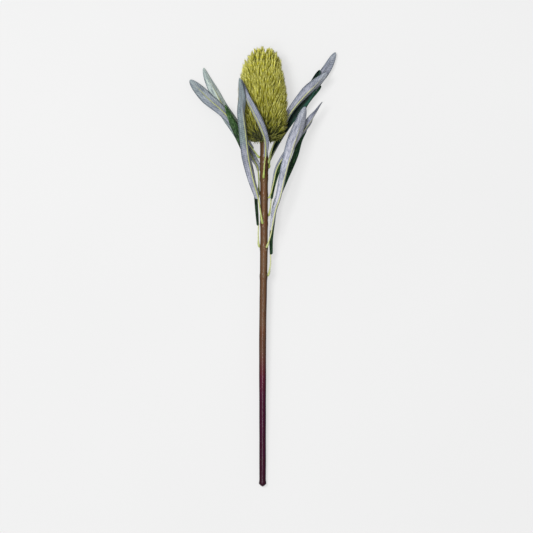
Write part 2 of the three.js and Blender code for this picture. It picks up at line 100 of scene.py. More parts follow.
# %% [markdown]
# ## The leaf table
#
# A leaf of this kind is a long strap that folds back along its midrib. The table says, for each,
# where its stalk leaves the stem (a height, and a turn round the stem), which points the midrib
# passes, how wide the blade is, how far it folds and rolls, and which face is seen. The rest is
# colour: how pale and how minty the leaf is on its way from base (0) to tip (1), from where to
# where across it the mint sets in (two sides), which on a green face is a painted highlight on one
# half, how creamy its rib is, and between which shares of the blade the rib turns grey (merging).

# %% Where each leaf runs
LEAVES = {
    "leaf_front_left": dict(
        foot=(60, -18), stalk=36, width=19, base=0.5, widest=0.36, fold=36,
        roll=((0, 20), (0.6, 42), (0.68, 42), (0.86, -8), (1, -8)), seen="under",
        pale=((0, 0.5), (0.4, 0.35), (0.5, 0.18)), cream=0.4, merging=(0.6, 0.78),
        mint=((0, 0), (0.42, 0.05), (0.5, 0.85), (0.75, 0.6), (1, 0.7)),
        points=((-6.6, 95, 38), (-14.1, 122, 47.6), (-20.8, 153, 58), (-25.2, 190, 70),
                (-28, 214, 76), (-30, 242, 80), (-32.4, 263.6, 79)),
    ),
    "leaf_front_right": dict(
        foot=(124, -6), stalk=32, width=15, base=0.4, widest=0.5, fold=38,
        roll=((0, 0), (0.25, -36), (1, -36)), seen="under", pale=((0, 0.3),), cream=0.3,
        mint=((0, 0), (1, 0.15)),
        points=((2.5, 146, 45), (3.9, 157, 52), (3.6, 176, 65), (-3.1, 196, 76),
                (-13.5, 217, 79), (-24, 238, 72), (-31.5, 263, 65)),
    ),
    "leaf_left_low": dict(
        foot=(153, -92), stalk=15, width=18.2, base=0.25, widest=0.72, fold=16,
        roll=((0, -30), (0.4, 10), (1, 14)), seen="under", pale=((0, 0.28),), cream=0.1,
        mint=((0, 0.1), (0.5, 0.25), (0.85, 0.5), (1, 0.6)), merging=(0.8, 0.97),
        points=((-20.4, 175, 27), (-33, 190.5, 23), (-55.2, 217.3, 19.5), (-76.9, 236.7, 16.5),
                (-90.1, 250.3, 13), (-102.9, 263.8, 6.5)),
    ),
    "leaf_left_high": dict(
        foot=(101, -104), stalk=34, width=20.4, base=0.36, widest=0.5, fold=26,
        roll=((0, -30), (0.4, 10), (0.65, 27), (1, 27)), seen="under",
        pale=((0, 0.8), (0.75, 0.85), (1, 0.68)), cream=0.1,
        mint=((0, 0.1), (0.3, 0.3), (0.5, 0.9), (1, 1)),
        points=((-6.8, 139.3, 22.8), (-12.8, 151.4, 18.5), (-21.6, 166.2, 14.5), (-40, 199.7, 10),
                (-57.8, 228.8, 9.6), (-67.4, 247.5, 9.4), (-77.4, 266.2, 7), (-83.6, 280.8, 4)),
    ),
    "leaf_left_green": dict(
        foot=(27, -94), stalk=31, width=15, base=0.3, widest=0.72, fold=28,
        roll=((0, -50), (1, -40)), seen="top",
        pale=((0, 0.04), (0.74, 0.08), (0.92, 0.5), (1, 0.45)), cream=0.9, mint=((0, 0), (1, 0)),
        points=((-7, 57.5, 23.5), (-8.2, 83, 24.5), (-9.6, 108, 26), (-14.6, 136, 28),
                (-25.8, 168.7, 28.7), (-36, 192.6, 29), (-46, 214, 25.5), (-53, 228, 21)),
    ),
    "leaf_right_far": dict(
        foot=(128, 150), stalk=24, width=13.3, base=0.22, widest=0.8, fold=9,
        roll=((0, 10), (0.5, 4), (1, 0)), seen="under", pale=((0, 0.2),), cream=0.2,
        mint=((0, 0), (0.8, 0.05), (1, 0.3)), merging=(0.3, 0.6),
        points=((10, 150, 17), (17, 166, 12), (25, 181, 10), (36, 199.5, 10.5),
                (59.5, 236.5, 11.5), (78.5, 262.5, 10.5), (91, 280.5, 8.5), (102.5, 302.5, 6)),
    ),
    "leaf_right_dark": dict(
        foot=(138, 104), stalk=19, width=14.5, base=0.3, widest=0.62, fold=16,
        roll=((0, 16), (1, 6)), seen="top", pale=((0, 0.0),), cream=0.2,
        mint=((0, 0), (0.5, 0.5), (1, 0.9)), painted_light_sides=(0.1, 0.95),
        points=((10.7, 156, 24), (17, 171, 18), (25, 184, 16), (34.8, 200.3, 15.5),
                (46.4, 217.9, 16.5), (63.2, 241.4, 18), (80.2, 277.4, 15)),
    ),
    "leaf_right_lavender": dict(
        foot=(145, 72), stalk=50, width=19.2, base=0.4, widest=0.62, fold=36,
        roll=((0, 20), (0.35, 34), (0.7, 34), (1, 6)), seen="under", pale=((0, 0.4),), cream=0.6,
        mint=((0, 0), (0.7, 0.05), (1, 0.35)),
        points=((10.7, 158, 31), (15.5, 173, 26), (25.5, 191, 22), (37, 214, 27),
                (57.2, 239, 30.5), (77, 258.5, 31), (90.3, 273, 28)),
    ),
    "leaf_right_green": dict(
        foot=(71, 100), stalk=25, width=13.6, base=0.26, widest=0.78, fold=14,
        roll=((0, 20), (1, 4)), seen="top", pale=((0, 0.3), (0.35, 0.12), (1, 0.12)), cream=0.6,
        mint=((0, 0.1), (0.5, 0.3), (1, 0.9)), painted_light_sides=(0.0, 1.0),
        points=((12.2, 95.5, 22), (14.9, 112.5, 20.5), (19.1, 129, 19), (25, 145.7, 17),
                (38.3, 170.3, 9), (48.8, 198.4, 3.8), (55.4, 226.8, 2.8), (65, 240.4, 2.7),
                (82.3, 255.6, 2.6)),
    ),
    "leaf_large_lavender": dict(
        foot=(26.5, 35), stalk=25, width=24, base=0.24, widest=0.76, fold=42,
        roll=((0, 14), (0.3, 28), (0.6, 42), (0.85, 14), (1, 12)), seen="under",
        pale=((0, 0.84), (0.5, 0.82), (0.75, 0.6), (1, 0.48)), cream=0.9,
        mint=((0, 0), (0.8, 0.05), (1, 0.2)),
        points=((10.7, 44, 32.5), (12.7, 56, 35), (17.6, 80, 39.5), (23.5, 97.5, 43),
                (30.1, 125.5, 47), (36.9, 151, 49), (43.2, 171, 49), (51.4, 194, 47),
                (59.6, 224.6, 41)),
    ),
    "leaf_curled_grey": dict(
        foot=(96.3, 76), stalk=9, width=13.8, base=0.1, widest=0.72, fold=34,
        roll=((0, 30), (0.76, 34), (0.9, 84), (1, 90)), seen="under", pale=((0, 0.25),), cream=0.4,
        mint=((0, 0), (1, 0)),
        points=((10.8, 103, 31), (14.6, 118.8, 33), (18.9, 137, 34), (26.3, 151, 34),
                (50.8, 183.5, 32), (61.4, 196.8, 30), (69.4, 208.2, 28), (83.9, 232.2, 24)),
    ),
    "leaf_low_green": dict(
        foot=(-13.5, 96), stalk=31, width=13.5, base=0.42, widest=0.66, fold=24,
        roll=((0, 34), (0.5, 48), (1, 40)), seen="top", pale=((0, 0.1),), cream=1.0,
        mint=((0, 0.1), (1, 0.3)),
        points=((10.7, 4.5, 19.5), (11.3, 17, 18.5), (11, 37.7, 18), (12.6, 59, 18),
                (16.4, 87, 17), (30.4, 123.5, 14.5), (44.2, 157, 11.5), (51.6, 179, 9),
                (62.1, 194.7, 6.5)),
    ),
}
print("leaves:", len(LEAVES))

# %% [markdown]
# ## Small tools for shapes
#
# Every piece here is a closed skin made of rows of points. Working on whole arrays at once keeps
# the script quick, and one helper turns arrays into a mesh, turns its faces outward and stores the
# numbers that the materials read later.

# %% Arrays to meshes


def smoothstep(value, low, high):
    """0 below low, 1 above high, and 3x^2 - 2x^3 between, where x runs from 0 to 1."""
    share = np.clip((np.asarray(value, float) - low) / (high - low), 0, 1)
    return share * share * (3 - 2 * share)


def unit(vectors):
    """Each vector divided by its own length."""
    return vectors / np.linalg.norm(vectors, axis=-1, keepdims=True)


def signed_volume(points, triangles):
    """A sixth of the sum of a . (b x c) over the triangles: positive where faces look outward."""
    a, b, c = (points[triangles[:, i]] for i in range(3))
    return float(np.einsum("ij,ij->i", a, np.cross(b, c)).sum() / 6)


def make_piece(name, points, quads, triangles, attributes, uv=None, second=None):
    """A smooth mesh object from points in millimetres.

    attributes are numbers for each point, uv is one pair for each point, and second marks the
    quads that take the second material.
    """
    halves = np.concatenate([quads[:, [0, 1, 2]], quads[:, [0, 2, 3]], triangles])
    if signed_volume(points, halves) < 0:
        quads = quads[:, ::-1]
        triangles = triangles[:, ::-1]
    mesh = bpy.data.meshes.new(name)
    mesh.from_pydata((points * MM).tolist(), [], quads.tolist() + triangles.tolist())
    mesh.polygons.foreach_set("use_smooth", np.ones(len(mesh.polygons), bool))
    for key, values in attributes.items():
        layer = mesh.attributes.new(key, "FLOAT", "POINT")
        layer.data.foreach_set("value", np.asarray(values, np.float32))
    if uv is not None:
        corners = np.empty(len(mesh.loops), np.int32)
        mesh.loops.foreach_get("vertex_index", corners)
        layer = mesh.uv_layers.new(name="surface")
        layer.data.foreach_set("uv", uv[corners].astype(np.float32).ravel())
    if second is not None:
        slots = np.zeros(len(mesh.polygons), np.int32)
        slots[: len(quads)] = second
        mesh.polygons.foreach_set("material_index", slots)
    mesh.update()
    piece = bpy.data.objects.new(name, mesh)
    bpy.context.collection.objects.link(piece)
    return piece


def tube_faces(rings, sides):
    """Quads between rings of points, and fans that close both ends on two last hub points."""
    ring, side = np.meshgrid(np.arange(rings - 1), np.arange(sides), indexing="ij")
    here = ring * sides + side
    beside = ring * sides + (side + 1) % sides
    quads = np.stack([here, beside, beside + sides, here + sides], -1).reshape(-1, 4)
    around = np.arange(sides)
    after = (around + 1) % sides
    last = (rings - 1) * sides
    first_hub = rings * sides
    start = np.stack([np.full(sides, first_hub), after, around], -1)
    end = np.stack([np.full(sides, first_hub + 1), last + around, last + after], -1)
    return quads, np.concatenate([start, end])


def tube_points(centres, radii, across, upward, sides):
    """centre + r (across cos a + upward sin a) for each ring, then the two end centres."""
    angle = 2 * np.pi * np.arange(sides) / sides
    spokes = across[:, None] * np.cos(angle)[:, None] + upward[:, None] * np.sin(angle)[:, None]
    rings = centres[:, None] + radii[..., None] * spokes
    return np.concatenate([rings.reshape(-1, 3), centres[[0, -1]]])


print("quads in a tube of 3 rings and 4 sides:", len(tube_faces(3, 4)[0]))

# %% [markdown]
# ## The stem's line
#
# The real stem is a single rod that leans up from its cut end on the surface to the head, whose
# thickness lifts it, and it sways a little to the right on its way. It could be drawn as a curve
# object, but a formula gives the leaf feet their places as well, so it is used for both.

# %% The stem's axis and thickness


def stem_share(y):
    """How far up the bare stem a height is, from 0 to 1."""
    return (np.asarray(y, float) - CUT_END_Y) / (HEAD_BASE_Y - CUT_END_Y)


def stem_axis(y):
    """x = end + sway smoothstep(y), z rises evenly from the end bulb's radius to the head's axis."""
    y = np.asarray(y, float)
    sway = smoothstep(y, SWAY_START_Y, SWAY_END_Y)
    z = END_BULB_RADIUS + (HEAD_AXIS_Z - END_BULB_RADIUS) * stem_share(y)
    return np.stack([STEM_END_X + STEM_SWAY * sway, y, z], -1)


FOOT_HEIGHTS = np.array([leaf["foot"][0] for leaf in LEAVES.values()], float)


def foot_swelling(y):
    """exp(-((y - foot) / reach)^2) for the nearest foot."""
    away = (np.asarray(y, float)[..., None] - FOOT_HEIGHTS) / SWELLING_REACH
    return np.exp(-(away**2)).max(-1)


def stem_radius(y):
    """An even taper with a low swelling at the foot of each leaf."""
    taper = STEM_RADIUS_CUT + (STEM_RADIUS_TOP - STEM_RADIUS_CUT) * stem_share(y)
    return taper + SWELLING_HEIGHT * foot_swelling(y)


print("stem radius at both ends:", stem_radius(CUT_END_Y), stem_radius(HEAD_BASE_Y))

# %% [markdown]
# ## A leaf's line and surface
#
# The midrib passes its points on a centripetal Catmull-Rom curve, which never loops between close
# points. At each place on it stand three directions: along, across the blade and out of the
# underside. The blade is then a plain formula of two numbers: how far along, and how far across.

# %% A curve through points


def curve_through(points, steps=48):
    """Dense points of the centripetal Catmull-Rom curve: knots lie |P - Q|^(1/2) apart."""
    points = np.asarray(points, float)
    ends = [2 * points[0] - points[1]], [2 * points[-1] - points[-2]]
    p = np.concatenate([ends[0], points, ends[1]])
    knots = np.linalg.norm(np.diff(p, axis=0), axis=1)[:, None] ** 0.5
    d0, d1, d2 = knots[:-2], knots[1:-1], knots[2:]
    a, b, c, d = p[:-3], p[1:-2], p[2:-1], p[3:]
    start = ((b - a) / d0 - (c - a) / (d0 + d1) + (c - b) / d1) * d1
    stop = ((c - b) / d1 - (d - b) / (d1 + d2) + (d - c) / d2) * d1
    t = np.linspace(0, 1, steps, endpoint=False)[None, :, None]
    b, c, start, stop = b[:, None], c[:, None], start[:, None], stop[:, None]
    cubic = (2 * b - 2 * c + start + stop) * t**3 + (3 * c - 3 * b - 2 * start - stop) * t**2
    return np.concatenate([(cubic + start * t + b).reshape(-1, 3), points[-1:]])


print("points on a curve through three corners:", len(curve_through(np.eye(3))))

# %% [markdown]
# ### A leaf's own numbers
#
# Stalk, rib and blade of a leaf all follow one line, so a class keeps it for them. A share of 0 is
# the base of the blade and 1 its tip, and shares below 0 are on the stalk.

# %% Midribs


class Midrib:
    """A leaf's curve from its foot to its tip, with the blade and the rib along it."""

    def __init__(self, leaf):
        self.leaf = leaf
        height, turn = leaf["foot"]
        turn = math.radians(turn)
        self.away = np.array([math.sin(turn), 0, math.cos(turn)])
        on_stem = stem_axis(height) + self.away * (float(stem_radius(height)) + GAP)
        flat = FOOT_RADIUS * math.cos(math.pi / SOLID_RIB_SIDES)
        first = curve_through([on_stem + self.away * flat, *leaf["points"]])
        lean = float(unit(first[1] - first[0]) @ self.away)
        reach = flat * math.sqrt(1 - lean**2) - leaf["stalk"] * SOLID_SWELLING_START * lean
        self.line = curve_through([on_stem + self.away * reach, *leaf["points"]])
        steps = np.linalg.norm(np.diff(self.line, axis=0), axis=1)
        self.length_at = np.concatenate([[0], np.cumsum(steps)])
        self.length = self.length_at[-1]
        self.tangents = unit(np.gradient(self.line, self.length_at, axis=0))
        self.blade_start = leaf["stalk"] / self.length
        self.fold = math.radians(leaf["fold"])

    def roll(self, share):
        """The stated rolls in radians, eased from one to the next."""
        rolls = self.leaf["roll"]
        value = np.full(np.shape(share), float(rolls[0][1]))
        for (low, before), (high, after) in zip(rolls, rolls[1:]):
            value = value + (after - before) * smoothstep(share, low, high)
        return np.radians(value)

    def frame(self, share):
        """Centre, across and outward; a share below 0 is on the stalk, with -1 at the foot."""
        share = np.asarray(share, float)
        on_blade = self.blade_start + (1 - self.blade_start) * share
        at = np.where(share < 0, self.blade_start * (1 + share), on_blade) * self.length
        rows = [
            np.stack([np.interp(at, self.length_at, table[:, i]) for i in range(3)], -1)
            for table in (self.line, self.tangents)
        ]
        centre, tangent = rows[0], unit(rows[1])
        side = unit(np.cross(tangent, UP))
        above = np.cross(side, tangent)
        roll = self.roll(np.maximum(share, 0))[..., None]
        across = side * np.cos(roll) - above * np.sin(roll)
        outward = side * np.sin(roll) + above * np.cos(roll)
        if self.leaf["seen"] == "top":
            outward = -outward
        return centre, across, outward

    def half_width(self, share):
        """w/2 (b + (1-b) min(s/m, 1)^0.9) sqrt(1 - c^2), where c closes from 0 to 1 past m.

        The root is held above a small share, so that the tip doesn't end in a point.
        """
        leaf = self.leaf
        rising = np.minimum(share / leaf["widest"], 1) ** 0.9
        closing = np.clip((share - leaf["widest"]) / (1 - leaf["widest"]), 0, 1)
        ends = np.maximum(np.sqrt(1 - closing**2), TIP_WIDTH_SHARE)
        return leaf["width"] / 2 * (leaf["base"] + (1 - leaf["base"]) * rising) * ends

    def surface(self, share, side, arch=0.0):
        """centre + across w cos f + outward (wave + arch - (sqrt(w^2 sin^2 f + r^2) - r)).

        w is the half width times side, f the fold, r the rounding of the fold, and the wave is
        0.7 side^2 sin(9 s + 2 side) sin(pi s) millimetres.
        """
        centre, across, outward = self.frame(share)
        width = self.half_width(share) * side
        wave = EDGE_WAVE * side**2 * np.sin(9 * share + 2 * side) * np.sin(np.pi * share)
        lowered = np.sqrt((width * math.sin(self.fold)) ** 2 + FOLD_ROUNDING**2)
        dropped = lowered - FOLD_ROUNDING
        bulge = arch * np.sin(np.pi * np.abs(side)) * np.abs(width)
        lift = (wave + bulge - dropped)[..., None]
        return centre + across * (width * math.cos(self.fold))[..., None] + outward * lift


midribs = {name: Midrib(leaf) for name, leaf in LEAVES.items()}
for name, midrib in midribs.items():
    print(f"{name}: {midrib.length:.0f} mm from foot to tip")

# %% [markdown]
# ## Small tools for materials
#
# All colour is procedural. A few helpers keep each material readable: one adds a node and links
# or sets its inputs by name. The others are built on it: mixes, sums, a row of colours over a
# number, noise, and the last step of every material. Colours are given as seen on screen, from 0
# to 255, and turned into the linear numbers that shaders use.

# %% Node helpers
WHITE = (255, 255, 255)


def linear(red, green, blue):
    """A colour as seen on screen, 0 to 255, turned into the linear numbers that shaders use."""
    shares = np.array([red, green, blue]) / 255
    low = shares / 12.92
    high = ((shares + 0.055) / 1.055) ** 2.4
    return (*np.where(shares <= 0.04045, low, high).tolist(), 1.0)


def add(tree, kind, inputs=None, **settings):
    """A new node; inputs are set, or linked where an output socket is given."""
    made = tree.nodes.new("ShaderNode" + kind)
    for key, value in settings.items():
        setattr(made, key, value)
    for key, value in (inputs or {}).items():
        if isinstance(value, bpy.types.NodeSocket):
            tree.links.new(value, made.inputs[key])
        else:
            made.inputs[key].default_value = value
    return made


def mixed(tree, factor, first, second, blend="MIX"):
    """The colour output of a mix of two colours."""
    made = add(tree, "Mix", {0: factor, 6: first, 7: second}, data_type="RGBA", blend_type=blend)
    return made.outputs[2]


def maths(tree, operation, first, second=0.0, third=0.0):
    """The output of one sum on numbers."""
    return add(tree, "Math", {0: first, 1: second, 2: third}, operation=operation).outputs[0]


def ramp(tree, number, *stops):
    """Colours spread over a number; each stop is its place, red, green and blue."""
    made = add(tree, "ValToRGB", {"Fac": number})
    elements = made.color_ramp.elements
    while len(elements) < len(stops):
        elements.new(0.5)
    for element, (place, *colour) in zip(elements, stops):
        element.position = place
        element.color = linear(*colour)
    return made.outputs["Color"]


def shaded(tree, colour, number, *stops, strength=1.0):
    """A colour multiplied by a row of colours over a number."""
    return mixed(tree, strength, colour, ramp(tree, number, *stops), "MULTIPLY")


print("white in a shader's numbers:", linear(*WHITE))

# %% [markdown]
# ### Places, noise and whole materials
#
# A pattern has to know where on the piece it is: at a place in metres, on the piece's own surface
# coordinates, or at a number stored on the mesh. Noise stretched along one axis makes streaks.

# %% Places, noise and materials


def noise(tree, place, scale=1.0, detail=2.0, roughness=0.5, stretch=None):
    """Cloudy numbers round 0.5; stretch scales the three axes of the place first."""
    if stretch:
        place = add(tree, "Mapping", {"Vector": place, "Scale": stretch}).outputs[0]
    inputs = {"Vector": place, "Scale": scale, "Detail": detail, "Roughness": roughness}
    return add(tree, "TexNoise", inputs).outputs["Fac"]


def object_place(tree):
    """The point that is shaded, in metres."""
    return add(tree, "TexCoord").outputs["Object"]


def surface_place(tree):
    """The point that is shaded, in the piece's own coordinates across and along."""
    return add(tree, "UVMap", uv_map="surface").outputs["UV"]


def attribute(tree, name):
    """A number stored on the mesh."""
    return add(tree, "Attribute", attribute_name=name).outputs["Fac"]


def new_material(name, **sockets):
    """A material and its shader, with the shader's own numbers set."""
    made = bpy.data.materials.new(name)
    made.use_nodes = True
    shader = made.node_tree.nodes["Principled BSDF"]
    for key, value in sockets.items():
        shader.inputs[key.replace("_", " ")].default_value = value
    return made, made.node_tree, shader


def finish_look(tree, shader, colour, relief, strength, depth):
    """Gives the shader its colour, and a bump as deep as so many metres."""
    tree.links.new(colour, shader.inputs["Base Color"])
    bump = add(tree, "Bump", {"Strength": strength, "Distance": depth, "Height": relief})
    tree.links.new(bump.outputs[0], shader.inputs["Normal"])


def give(piece, *materials):
    """Puts the materials on the piece, in order."""
    for made in materials:
        piece.data.materials.append(made)


print("materials so far:", len(bpy.data.materials))

# %% [markdown]
# ## A shared grain for every leaf face
#
# Both faces of a leaf show the same skeleton: side veins that slant away from the midrib every
# few millimetres, furrows that run with the leaf, and a grain of strokes, flecks, blotches and
# felt, which are noise of four sizes. The leaf's own surface coordinates, in centimetres across
# and along, carry the pattern, so it bends with the blade.
# A node group holds it once, and each face's material decides what to do with it.

# %% The leaf grain group
VEIN_SLANT = -0.55
VEIN_BEND = 0.09
VEIN_SPACING = 0.15
FURROW_BEND = 0.12
FURROW_SPACING = 0.13
LINE_REACH = 0.06


def thin_lines(tree, number, spacing):
    """1 on lines two spacings apart, and 0 from a short reach beside them."""
    away = maths(tree, "PINGPONG", number, spacing)
    return add(tree, "MapRange", {"Value": away, "From Min": LINE_REACH, "From Max": 0.0}).outputs[0]


def leaf_grain_group():
    """Side Veins, Furrows, Grain, Flecks, Blotches and Felt from 0 to 1; Edge is 1 at the margin."""
    tree = bpy.data.node_groups.new("leaf_grain", "ShaderNodeTree")
    uv = surface_place(tree)
    parts = add(tree, "SeparateXYZ", {0: uv}).outputs
    across = maths(tree, "ABSOLUTE", parts["X"])
    slant = maths(tree, "MULTIPLY_ADD", across, VEIN_SLANT, parts["Y"])
    bent = noise(tree, uv, 2.5)
    vein_place = maths(tree, "MULTIPLY_ADD", bent, VEIN_BEND, slant)
    furrow_place = maths(tree, "MULTIPLY_ADD", bent, FURROW_BEND, across)
    patterns = {
        "Veins": thin_lines(tree, vein_place, VEIN_SPACING),
        "Furrows": thin_lines(tree, furrow_place, FURROW_SPACING),
        "Grain": noise(tree, uv, detail=6.0, stretch=(4.0, 0.55, 1.0)),
        "Flecks": noise(tree, uv, detail=3.0, stretch=(8.0, 1.4, 1.0)),
        "Blotches": noise(tree, uv, detail=4.0, stretch=(4.2, 2.2, 1.0)),
        "Felt": noise(tree, uv, 34.0, 4.0, 0.65),
        "Edge": attribute(tree, "margin"),
    }
    for name in patterns:
        tree.interface.new_socket(name, in_out="OUTPUT", socket_type="NodeSocketFloat")
    out = tree.nodes.new("NodeGroupOutput")
    for name, number in patterns.items():
        tree.links.new(number, out.inputs[name])
    return tree


leaf_grain = leaf_grain_group()
print("shared group:", leaf_grain.name, [node.bl_idname for node in leaf_grain.nodes][:4])

# %% [markdown]
# ## The felted underside
#
# A banksia leaf is dark above and thickly felted below, here grey with a cast of lavender or mint.
# Felt scatters light at grazing angles, so the shader has sheen and hardly any gloss. The colour
# drifts over the leaf, darkens towards the margin and shows the veins as slightly paler lines
# and the furrows as darker ones.

# %% Underside material


def underside_material():
    """Lavender to mint by the leaf's own number, broken by grain, veins, drift and margin."""
    made, tree, shader = new_material(
        "leaf_underside", Roughness=0.85, Specular_IOR_Level=0.25, Sheen_Weight=0.25,
        Sheen_Roughness=0.5,
    )
    grain = add(tree, "Group", node_tree=leaf_grain).outputs
    drift = noise(tree, object_place(tree), 45.0)
    pale = attribute(tree, "pale")
    dull_lavender = ramp(tree, drift, (0.3, 104, 108, 120), (0.7, 138, 140, 156))
    pale_lavender = ramp(tree, drift, (0.3, 198, 197, 206), (0.7, 228, 226, 236))
    dull_mint = ramp(tree, drift, (0.3, 80, 108, 100), (0.7, 118, 144, 134))
    pale_mint = ramp(tree, drift, (0.3, 190, 208, 192), (0.7, 234, 244, 230))
    lavender = mixed(tree, pale, dull_lavender, pale_lavender)
    mint = mixed(tree, pale, dull_mint, pale_mint)
    felt = mixed(tree, attribute(tree, "mint"), lavender, mint)
    strokes = (0.36, 182, 186, 196), (0.5, 232, 234, 238), (0.62, *WHITE)
    felt = shaded(tree, felt, grain["Grain"], *strokes)
    blotches = (0.36, 206, 208, 216), (0.5, 242, 243, 246), (0.62, *WHITE)
    felt = shaded(tree, felt, grain["Blotches"], *blotches)
    # Darker towards the margin of the blade.
    margin = (0.0, *WHITE), (0.72, 250, 251, 252), (0.88, 200, 208, 212), (1.0, 140, 150, 156)
    felt = shaded(tree, felt, grain["Edge"], *margin)
    veined = maths(tree, "MULTIPLY", grain["Veins"], 0.3)
    felt = mixed(tree, veined, felt, linear(212, 214, 222))
    furrowed = maths(tree, "MULTIPLY", grain["Furrows"], 0.3)
    felt = mixed(tree, furrowed, felt, linear(96, 102, 120))
    relief = maths(tree, "MULTIPLY_ADD", grain["Veins"], 0.5, grain["Felt"])
    relief = maths(tree, "MULTIPLY_ADD", grain["Furrows"], -0.6, relief)
    finish_look(tree, shader, felt, relief, strength=0.35, depth=0.0004)
    return made


underside = underside_material()
print("underside material:", underside.name)

# %% [markdown]
# ## The dark upper face
#
# The upper face is deep green, smoother than the felt, with fine pale flecks in rows along the
# leaf. Where a leaf's number says so, it turns teal, towards its tip or towards one margin; towards
# the margin the teal is a painted highlight.

# %% Upper face material


def upper_material():
    """Deep green with pale flecks along the grain, and a teal cast by the leaf's own number that is
    a painted highlight towards the margin.
    """
    made, tree, shader = new_material("leaf_upper", Roughness=0.5, Specular_IOR_Level=0.1)
    grain = add(tree, "Group", node_tree=leaf_grain).outputs
    drift = noise(tree, object_place(tree), 60.0)
    pale = attribute(tree, "pale")
    dark_green = ramp(tree, drift, (0.3, 2, 8, 7), (0.7, 9, 28, 21))
    pale_green = ramp(tree, drift, (0.3, 34, 68, 26), (0.7, 78, 122, 56))
    green = mixed(tree, pale, dark_green, pale_green)
    teal = ramp(tree, drift, (0.3, 18, 56, 50), (0.7, 66, 132, 112))
    # Painted highlight: the teal grows towards the margin.
    edge_highlight = maths(tree, "MULTIPLY_ADD", grain["Edge"], 0.8, 0.2)
    face = mixed(tree, maths(tree, "MULTIPLY", attribute(tree, "mint"), edge_highlight), green, teal)
    flecked = ramp(tree, grain["Flecks"], (0.54, 0, 0, 0), (0.62, 210, 210, 210))
    fleck = ramp(tree, pale, (0.0, 24, 64, 52), (0.08, 72, 108, 62), (1.0, 150, 190, 128))
    face = mixed(tree, flecked, face, fleck)
    veined = maths(tree, "MULTIPLY", grain["Veins"], 0.15)
    face = mixed(tree, veined, face, fleck)
    relief = maths(tree, "MULTIPLY_ADD", grain["Veins"], -0.6, grain["Felt"])
    finish_look(tree, shader, face, relief, strength=0.4, depth=0.0003)
    return made


upper = upper_material()
print("upper face material:", upper.name)

# %% [markdown]
# ## The blades
#
# Each blade is a soft V in section, a little convex in each half, that thins to a sharp margin.
# It could be a single sheet with a Solidify modifier, but then its two faces couldn't meet in a
# thin edge, so both faces are laid out as grids that share the points of the margin. A few
# rows that grow quickly in width round the base off.

# %% The blades' shape
BLADE_ROWS = 110
BLADE_COLUMNS = 25
BLADE_THICKNESS = 0.6
MARGIN_THICKNESS = 0.16
BLADE_ARCH = 0.05
GROOVE_DEPTH = 0.3
GROOVE_WIDTH = 0.8
BASE_ROUNDING = 0.8
BASE_ROWS = np.array([0, 0.04, 0.15, 0.35, 0.65])
ROWS_TOWARDS_TIP = 1.5
COLUMNS_TOWARDS_MARGIN = 0.85
CM = 10


def blade_piece(name, midrib):
    """Underside and upper face as two grids on surface(s, side) +- half the thickness.

    The thickness is thin + (thick - thin) sqrt(1 - side^4), and the upper face has a groove of
    exp(-(w / width)^2) along the midrib.
    """
    t = np.linspace(0, 1, BLADE_ROWS)
    base = midrib.leaf["width"] / 2 * midrib.leaf["base"]
    rounding = BASE_ROUNDING * base / ((1 - midrib.blade_start) * midrib.length)
    shares = rounding + (1 - rounding) * (1 - (1 - t) ** ROWS_TOWARDS_TIP)
    shares = np.concatenate([rounding * BASE_ROWS, shares])
    u = np.linspace(-1, 1, BLADE_COLUMNS)
    sides = np.sign(u) * np.abs(u) ** COLUMNS_TOWARDS_MARGIN
    share, side = np.meshgrid(shares, sides, indexing="ij")
    rounded = np.sqrt(1 - (1 - np.clip(share / rounding, 0.02, 1)) ** 2)
    side = side * rounded
    middle = midrib.surface(share, side, arch=BLADE_ARCH)
    outward = midrib.frame(share)[2]
    width = midrib.half_width(share) * side
    thick = MARGIN_THICKNESS + (BLADE_THICKNESS - MARGIN_THICKNESS) * np.sqrt(1 - side**4)
    groove = GROOVE_DEPTH * np.exp(-((width / GROOVE_WIDTH) ** 2))
    under = middle + outward * (thick / 2)[..., None]
    over = middle - outward * (thick / 2 - groove)[..., None]
    rows, columns = share.shape
    rim = np.zeros((rows, columns), bool)
    rim[[0, -1], :] = True
    rim[:, [0, -1]] = True
    under[rim] = middle[rim]
    first = np.arange(rows * columns).reshape(rows, columns)
    second = first.copy()
    second[~rim] = rows * columns + np.arange((~rim).sum())
    faces = []
    for grid in (first, second):
        corners = grid[:-1, :-1], grid[:-1, 1:], grid[1:, 1:], grid[1:, :-1]
        faces.append(np.stack(corners, -1).reshape(-1, 4))
    quads = np.concatenate([faces[0], faces[1][:, ::-1]])
    points = np.concatenate([under.reshape(-1, 3), over[~rim]])
    along = share * (1 - midrib.blade_start) * midrib.length
    mint = np.interp(share, *zip(*midrib.leaf["mint"]))
    # On a green face this paints light onto one half of the blade.
    if "painted_light_sides" in midrib.leaf:
        mint = mint * smoothstep(side, *midrib.leaf["painted_light_sides"])
    numbers = {
        "mint": mint,
        "pale": np.interp(share, *zip(*midrib.leaf["pale"])),
        "margin": np.abs(side / rounded),
    }
    attributes = {
        key: np.concatenate([value.ravel(), value[~rim]]) for key, value in numbers.items()
    }
    uv = np.stack([width / CM, along / CM], -1)
    uv = np.concatenate([uv.reshape(-1, 2), uv[~rim]])
    is_upper = np.repeat([0, 1], len(faces[0]))
    piece = make_piece(
        name + "_blade", points, quads, np.zeros((0, 3), int), attributes, uv, is_upper
    )
    give(piece, underside, upper)
    return piece


print("faces of one blade:", 2 * (BLADE_ROWS + len(BASE_ROWS) - 1) * (BLADE_COLUMNS - 1))

# %% [markdown]
# ### Blades in their places
#
# Each blade takes the place of its solid.

# %% Build the blades
blades = {name: blade_piece(name, midrib) for name, midrib in midribs.items()}
for name, piece in blades.items():
    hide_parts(name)
    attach(piece, "root")

# %% [markdown]
# ## Stalks and midribs
#
# On the real stem the stalk is a smooth pale rod with a swollen foot that clasps the stem, and it
# runs on under the blade as a raised rib that fades towards the tip. One tube does both. Its foot
# is drawn into the stem and its rib is sunk a little into the felt, so nothing floats.

# %% Rib material


